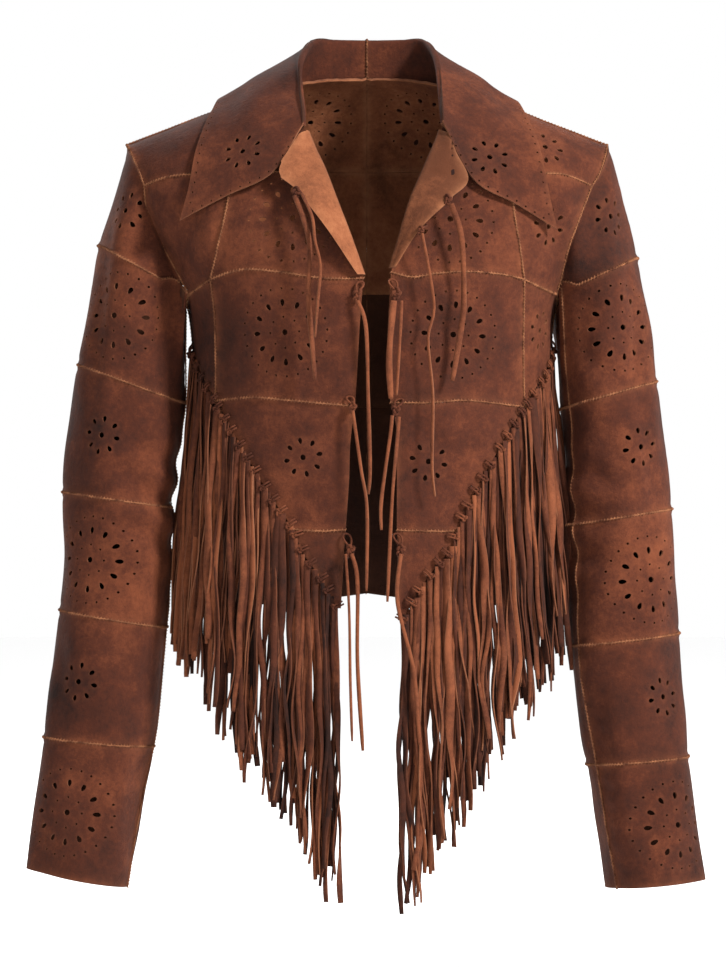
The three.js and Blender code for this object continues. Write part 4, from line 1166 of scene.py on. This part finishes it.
# ---------------------------------------------------------------- strips, laces and knots
def strip_mesh(route, frames, widths, thick):
    """A flat strip along a route. frames holds the directions across it. Returns points and faces."""
    along = unit(np.gradient(route, axis=0))
    flat = unit(frames - along * (frames * along).sum(axis=1)[:, None])
    face = np.cross(along, flat)
    half = widths[:, None] / 2
    cup = 0.12 * widths[:, None]
    rows = [route + flat * half + face * thick / 2, route + face * (thick / 2 + cup),
            route - flat * half + face * thick / 2, route - flat * half - face * thick / 2,
            route - face * (thick / 2 - cup), route + flat * half - face * thick / 2]
    points = np.stack(rows, axis=1).reshape(-1, 3)
    count = len(route)
    faces = []
    slots = []
    for r in range(count - 1):
        for c in range(6):
            a = r * 6 + c
            b = r * 6 + (c + 1) % 6
            faces.append([a, b, b + 6, a + 6])
            slots.append(2 if c in (2, 5) else (0 if c in (0, 1) else 1))
    faces += [[5, 4, 3, 2, 1, 0], [(count - 1) * 6 + c for c in range(6)]]
    slots += [2, 2]
    return points, faces, slots


class Bundle:
    """Many small closed bodies gathered into one mesh."""

    def __init__(self):
        self.points = []
        self.faces = []
        self.slots = []
        self.tones = []
        self.count = 0

    def add(self, points, faces, slots, tone=NOMINAL_TONE):
        self.points.append(points)
        self.faces += [[k + self.count for k in face] for face in faces]
        self.slots += slots
        self.tones.append(np.full(len(points), tone))
        self.count += len(points)

    def add_tube(self, route, radius, sides, tone=NOMINAL_TONE, closed=False):
        points, faces = tube_mesh(route, radius, sides, closed)
        self.add(points, faces, [0] * len(faces), tone)

    def build(self, name, materials):
        points = np.concatenate(self.points)
        values = {"tone": np.concatenate(self.tones), "wear": np.zeros(len(points))}
        return new_mesh(name, points, self.faces, materials, self.slots, (), values)


def tube_mesh(route, radius, sides, closed=False):
    """A round tube along a route. Its ends are closed unless it joins up."""
    if closed:
        along = unit(np.roll(route, -1, axis=0) - np.roll(route, 1, axis=0))
    else:
        along = unit(np.gradient(route, axis=0))
    guide = np.array([0.31, 0.83, 0.46])
    flat = unit(np.cross(along, guide))
    face = np.cross(along, flat)
    turn = np.arange(sides) * 2 * math.pi / sides
    ring = flat[:, None, :] * np.cos(turn)[None, :, None] + face[:, None, :] * np.sin(turn)[None, :, None]
    radii = np.broadcast_to(np.asarray(radius, float), (len(route),))
    points = (route[:, None, :] + ring * radii[:, None, None]).reshape(-1, 3)
    count = len(route)
    faces = []
    for r in range(count if closed else count - 1):
        for c in range(sides):
            a = r * sides + c
            b = r * sides + (c + 1) % sides
            below = ((r + 1) % count) * sides
            faces.append([a, b, below + (c + 1) % sides, below + c])
    if not closed:
        faces += [list(range(sides))[::-1], [(count - 1) * sides + c for c in range(sides)]]
    return points, faces


def knot(bundle, middle, size, turn, rng, tone):
    """An overhand knot pulled tight: a squeezed trefoil of lace."""
    t = np.linspace(0, 2 * math.pi, 36, endpoint=False)
    x = np.sin(t) + 2 * np.sin(2 * t)
    y = np.cos(t) - 2 * np.cos(2 * t)
    z = -1.1 * np.sin(3 * t)
    shape = np.stack([x * size * 0.30, z * size * 0.42, y * size * 0.36], axis=-1)
    c, s = math.cos(turn), math.sin(turn)
    spin = np.array([[c, 0, s], [0, 1, 0], [-s, 0, c]])
    shape = shape @ spin.T * (1 + 0.12 * rng.uniform(-1, 1))
    bundle.add_tube(shape + middle, size * 0.40, 6, tone, closed=True)


FRINGE_PARTS = {"fringe_side": ("hemSide", 0.06, 1.0), "fringe_middle": ("hemMid", 0.0, 1.0),
                "fringe_tip": ("hemTip", 0.0, 0.97)}
STRIP_LAYERS = [(-2.0, 1.0), (0.2, 0.9), (2.4, 0.62)]      # distance out from the hem, and share of strips
STRIP_PITCH = 5.6
KNOT_PITCH = 13.5


def fringe_strip(rng, top, out, along, flare, length, width):
    """One strip: it hangs, sways, twists and curls a little at its end."""
    steps = 34
    t = np.linspace(0, 1, steps)
    sway = rng.uniform(-1, 1)
    bend = rng.uniform(1.2, 2.6)
    phase = rng.uniform(0, 6.28)
    sideways = (5.5 * sway * t + 3.0 * np.sin(bend * math.pi * t + phase) * smooth_step(t, 0, 0.3)
                + 1.2 * np.sin(5.5 * math.pi * t + 2 * phase) * smooth_step(t, 0.15, 0.5))
    forwards = (flare * t + 1.7 * np.sin(bend * 1.3 * math.pi * t + phase * 2) * smooth_step(t, 0, 0.25)
                + rng.uniform(-1.4, 1.6) * t)
    if rng.random() < 0.3:
        curl = rng.uniform(-6, 6) * smooth_step(t, 0.78, 1.0)
        sideways = sideways + curl
    drop = length * t
    route = top + along * sideways[:, None] + out * forwards[:, None] + np.array([0, 0, -1]) * drop[:, None]
    turn = rng.uniform(-0.5, 0.5) + rng.choice([-1, 1]) * rng.uniform(0.2, 2.4) * smooth_step(t, 0.05, 1)
    turn = turn + 0.5 * np.sin(3.1 * math.pi * t + phase)
    frames = along * np.cos(turn)[:, None] + out * np.sin(turn)[:, None]
    widths = width * (1 + 0.12 * np.sin(7 * t + phase)) * (1 - 0.25 * smooth_step(t, 0.93, 1.0))
    return strip_mesh(route, frames, widths, STRIP_THICK)


def make_fringe(side):
    sign = SIDES[side]
    rng = random.Random(SEEDS["fringe"][side])
    knots = Bundle()
    for part, (seam, start, end) in FRINGE_PARTS.items():
        dense = spline_points(FRONT_SEAMS[side][seam], 40)
        angle = angle_of(sign, dense[:, 0], dense[:, 1])
        hem = even_reader(body_point(sign, -1, angle, dense[:, 1]))
        bundle = Bundle()
        for layer, (offset, density) in enumerate(STRIP_LAYERS):
            count = int(hem.length * (end - start) / STRIP_PITCH * density)
            for k in range(count):
                share = start + (end - start) * (k + rng.uniform(0.1, 0.9)) / count
                top = hem(share)
                normal = body_normal(top[None, :])[0]
                out = unit(normal * [1, 1, 0])
                along = np.array([-out[1], out[0], 0.0])
                top = top + out * (offset - LEATHER / 2) + np.array([0, 0, rng.uniform(-1.5, 0.5)])
                flare = 15 * float(smooth_step(abs(top[0]), 40, 150)) + 1.2 * layer
                length = FRINGE_LENGTH * rng.uniform(0.86, 1.01) - (rng.random() < 0.18) * rng.uniform(10, 45)
                width = rng.choice([3.4, 4.2, 5.0, 5.8, 7.4])
                # The back layer of strips, behind the others, is 0.2 darker as painted shade; the rest of the
                # spread is random tone.
                tone = (NOMINAL_TONE + rng.uniform(-0.25, 0.25) - 0.2 * (layer == 0)
                        + 0.22 * (rng.random() < 0.2))
                bundle.add(*fringe_strip(rng, top, out, along, flare, length, width), tone)
        name = f"{side}_{part}"
        piece = bundle.build(f"{name}_strips", [STRIP, STRIP, CUT])
        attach(piece, "root")
        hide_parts(name)
        for at in np.arange(4.0, hem.length - 2, KNOT_PITCH):
            share = min(1.0, (at + rng.uniform(-2, 2)) / hem.length)
            hem_knot(knots, rng, hem, share)
    piece = knots.build(f"{side}_hem_knots", [STRIP])
    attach(piece, "root")


def hem_knot(knots, rng, hem, share):
    """A knot at the hem and the loop that runs from it up into the panel."""
    top = hem(share)
    normal = body_normal(top[None, :])[0]
    along = unit(hem(min(1, share + 0.02)) - hem(max(0, share - 0.02)))
    up = unit(np.cross(normal, along))
    if up[2] < 0:
        up = -up
    tone = 0.55 + rng.uniform(-0.1, 0.12)
    middle = top + normal * 2.6 - np.array([0, 0, 2.2])
    knot(knots, middle, 2.5, rng.uniform(0, 6.28), rng, tone)
    for shift in (-1.3, 1.3):
        t = np.linspace(0, 1, 9)
        arch = np.sin(t * math.pi)
        route = (middle + along * shift + up * (t * 8.0)[:, None]
                 + normal * (arch * 1.9 - t * 1.6)[:, None])
        knots.add_tube(route, 0.85, 5, tone)


def lace_route(points):
    """A lace's route in three dimensions, from its table."""
    placed = []
    for x, off, z in points:
        front = on_front(1.0 if abs(x) < 1 else x, z)
        placed.append([x, front[1] - off, z])
    return even_reader(spline_points(placed, 30))


def make_ties():
    rng = random.Random(SEEDS["ties"])
    knots = Bundle()
    for name, (width, table) in TIES.items():
        route = lace_route(table)
        count = 36
        share = np.linspace(0, 1, count)
        line = route(share)
        lean = rng.uniform(-0.3, 0.3)
        twist = rng.choice([-1, 1]) * rng.uniform(0.2, 0.8)
        turn = lean + twist * smooth_step(share, 0.3, 1)
        turn = turn + 0.25 * np.sin(9 * share)
        frames = np.stack([np.cos(turn), np.sin(turn), 0 * turn], axis=-1)
        widths = width * (1 + 0.08 * np.sin(11 * share)) * (1 - 0.3 * smooth_step(share, 0.95, 1))
        bundle = Bundle()
        bundle.add(*strip_mesh(line, frames, widths, LACE_THICK), 0.72 + rng.uniform(-0.08, 0.08))
        piece = bundle.build(f"{name}_lace", [STRIP, STRIP, CUT])
        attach(piece, "root")
        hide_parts(name)
        path = (route(np.linspace(0, 1, 24)) * MM).tolist()
    for middle, size, loop in TIE_KNOTS:
        lace_knot(knots, rng, middle, size, loop)
    piece = knots.build("tie_knots", [STRIP])
    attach(piece, "root")


# Knots of the laces: the middle as [x, distance in front, z], the size, and the loop's rise and lean.
TIE_KNOTS = [
    ([-59, 17, -88], 3.2, (6, 2)), ([-8, 5, -174], 3.4, (9, 3)), ([-12, 5, -268], 2.8, (7, -3)),
    ([-14, 6, -388], 3.4, (12, -4)), ([68, 17, -94], 3.0, (5, -3)), ([45, 17, -121], 2.4, (4, 3)),
    ([24.5, 6, -173], 3.6, (10, -4)), ([24, 6, -271], 3.0, (8, 4)), ([28.5, 6, -387], 3.4, (11, -4)),
]


def lace_knot(knots, rng, middle, size, loop):
    """A lace's knot with the loop that comes through the panel's edge above it."""
    x, off, z = middle
    centre = np.array([x, on_front(x, z)[1] - off, z])
    knot(knots, centre, size, rng.uniform(0, 6.28), rng, 0.56)
    knot(knots, centre - np.array([0.6, 0.3, size * 1.2]), size * 0.8, rng.uniform(0, 6.28), rng, 0.52)
    rise, lean = loop
    t = np.linspace(0, 1, 16)
    x_way = (2.6 + abs(lean) * 0.4) * np.sin(t * 2 * math.pi) * 0.8 + lean * np.sin(t * math.pi)
    arch = np.sin(t * math.pi)
    route = centre + np.stack([x_way, off * 0.75 * arch - 0.5, rise * arch + 1], axis=-1)
    knots.add_tube(route, 0.95, 6, 0.58)


# ---------------------------------------------------------------- seams
def stitch_line(bundle, route, normals, rng):
    """A raised seam: a twisted cord of thread over the join, whipped across at every stitch."""
    lengths = np.concatenate([[0], np.cumsum(np.linalg.norm(np.diff(route, axis=0), axis=1))])
    count = max(2, int(lengths[-1] / STITCH_PITCH))
    at = np.linspace(0, lengths[-1], count)
    centre = np.stack([np.interp(at, lengths, route[:, k]) for k in range(3)], axis=-1)
    normal = unit(np.stack([np.interp(at, lengths, normals[:, k]) for k in range(3)], axis=-1))
    along = unit(np.gradient(centre, axis=0))
    side = np.cross(normal, along)
    wobble = np.array([rng.uniform(-0.25, 0.25) for _ in range(count)])[:, None]
    bundle.add_tube(centre + normal * 0.35 + side * wobble, 0.6, 5)
    arch = np.array([[-1.3, -0.1], [-0.7, 0.75], [0.0, 1.05], [0.7, 0.75], [1.3, -0.1]])
    for k in range(count):
        slant = 0.55 + rng.uniform(-0.1, 0.1)
        reach = 1 + rng.uniform(-0.12, 0.12)
        line = np.array([centre[k] + side[k] * a * reach + along[k] * a * slant + normal[k] * h
                         for a, h in arch])
        bundle.add_tube(line, [0.26, 0.42, 0.47, 0.42, 0.26], 5)


def body_seam(side, face, names, seams):
    reader = joined([seams[name] for name in names])
    t = np.linspace(0, 1, max(12, int(reader.length / 4)))
    flat = reader(t)
    sign = SIDES[side]
    p = body_point(sign, face, angle_of(sign, flat[:, 0], flat[:, 1]), flat[:, 1])
    return p, body_normal(p)


def lifted(p, normal):
    """A seam rides up and down with the suede beside it."""
    lift = 0.35 * 1.3 * (undulation(p) + crease_depth(p, normal)) + 0.3
    return p + normal * lift[:, None]


def finish_seams(bundle, name):
    piece = bundle.build(name, [THREAD])
    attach(piece, "root")


def make_body_seams():
    rng = random.Random(SEEDS["body_seams"])
    front = Bundle()
    back = Bundle()
    for side in SIDES:
        seams = front_seams(side)
        for names in (["yokeIn", "yokeOut"], ["vertTop", "vertLow"], ["chestIn", "chestOut"], ["waist"],
                      ["third"], ["armTop", "armLow", "armBase"], ["side"], ["shoulder"]):
            p, normal = body_seam(side, -1, names, seams)
            stitch_line(front, lifted(p, normal), normal, rng)
        seams = back_seams(side)
        for names in (["yoke"], ["chest"], ["waistOut"], ["armTop", "armLow", "armBase"]):
            p, normal = body_seam(side, 1, names, seams)
            stitch_line(back, lifted(p, normal), normal, rng)
    middle = [[0.2, 20], [0.2, -58], [0.2, -166], [0.2, -266], [0.2, -430]]
    p, normal = body_seam("left", 1, ["middle"], {"middle": middle})
    p[:, 0] = 0
    stitch_line(back, lifted(p, normal), normal, rng)
    t = np.linspace(0, 1, 60)
    collar = grid_surface(collar_sections("left"))
    p = collar(np.zeros(60), 0.14 + 0.86 * t)
    p[:, 0] = 0
    away = unit(p - np.array([0, 70, 20])) * [0, 1, 1]
    stitch_line(back, p + away * 0.5, away, rng)
    finish_seams(front, "front_stitching")
    finish_seams(back, "back_stitching")


def make_sleeve_seams(side):
    rng = random.Random(SEEDS["sleeve_seams"][side])
    bundle = Bundle()
    whole = sleeve_surface(side)
    seam = SLEEVE_SEAM[side]

    def add(degrees, at):
        p = whole(degrees, at)
        normal = sleeve_normals(whole, degrees, at, p)
        zero = np.zeros(len(p))
        lift = sleeve_relief(side, degrees, at, p, normal, zero, zero, 1, 1, dict.fromkeys(EDGES, False))
        stitch_line(bundle, p + normal * (lift + 0.2)[:, None], normal, rng)

    for k in range(1, 6):
        reach = CAP_REACH if k == 1 else 180
        degrees = np.linspace(-reach, reach, 110)
        add(degrees, np.full(110, float(k)))
    at = np.linspace(1.04, 6, 150)
    add(np.full(150, seam), at)
    finish_seams(bundle, f"{side}_sleeve_stitching")


# ---------------------------------------------------------------- stage, camera and light
VIEW_MIDDLE = Vector((-0.0034, 0.0, -0.333))
VIEW_HEIGHT = 0.822       # metres of the jacket's plane that the frame's height takes in
CAMERA_AWAY = 4.0
SENSOR = 36.0


def make_camera():
    data = bpy.data.cameras.new("camera")
    data.sensor_width = SENSOR
    data.lens = SENSOR * CAMERA_AWAY / VIEW_HEIGHT
    data.clip_end = 30
    camera = bpy.data.objects.new("camera", data)
    plane_y = -0.06
    camera.location = (VIEW_MIDDLE.x, plane_y - CAMERA_AWAY, VIEW_MIDDLE.z)
    camera.rotation_euler = (math.pi / 2, 0, 0)
    bpy.context.scene.collection.objects.link(camera)
    bpy.context.scene.camera = camera


def area_light(name, place, size, power, colour=(1, 1, 1)):
    data = bpy.data.lights.new(name, "AREA")
    data.shape = "DISK"
    data.size = size
    data.energy = power
    data.color = colour
    light = bpy.data.objects.new(name, data)
    light.location = place
    aim = Vector((0, 0, -0.3)) - Vector(place)
    light.rotation_euler = aim.to_track_quat("-Z", "Y").to_euler()
    bpy.context.scene.collection.objects.link(light)


def make_stage():
    white = bpy.data.materials.new("stage_white")
    white.use_nodes = True
    shader = white.node_tree.nodes["Principled BSDF"]
    shader.inputs["Base Color"].default_value = (0.95, 0.95, 0.95, 1)
    shader.inputs["Roughness"].default_value = 0.9
    half = 9.0
    low = -0.76
    mesh = bpy.data.meshes.new("floor")
    mesh.from_pydata([(-half, -half, low), (half, -half, low), (half, half, low), (-half, half, low)], [],
                     [(0, 1, 2, 3)])
    mesh.materials.append(white)
    floor = bpy.data.objects.new("floor", mesh)
    bpy.context.scene.collection.objects.link(floor)
    world = bpy.data.worlds.new("studio")
    world.use_nodes = True
    world.node_tree.nodes["Background"].inputs["Color"].default_value = (1, 1, 1, 1)
    world.node_tree.nodes["Background"].inputs["Strength"].default_value = 1.0
    bpy.context.scene.world = world
    bpy.context.scene.view_settings.view_transform = "Standard"


make_camera()
make_ties()
make_stage()
area_light("key", (2.0, -1.8, 1.5), 0.6, 235)
area_light("back", (-1.2, 2.4, 1.5), 1.2, 60)
for side_name in SIDES:
    make_body_panels(side_name)
    make_sleeve(side_name)
    make_collar(side_name)
    make_lapel(side_name)
    make_fringe(side_name)
    make_sleeve_seams(side_name)
make_body_seams()
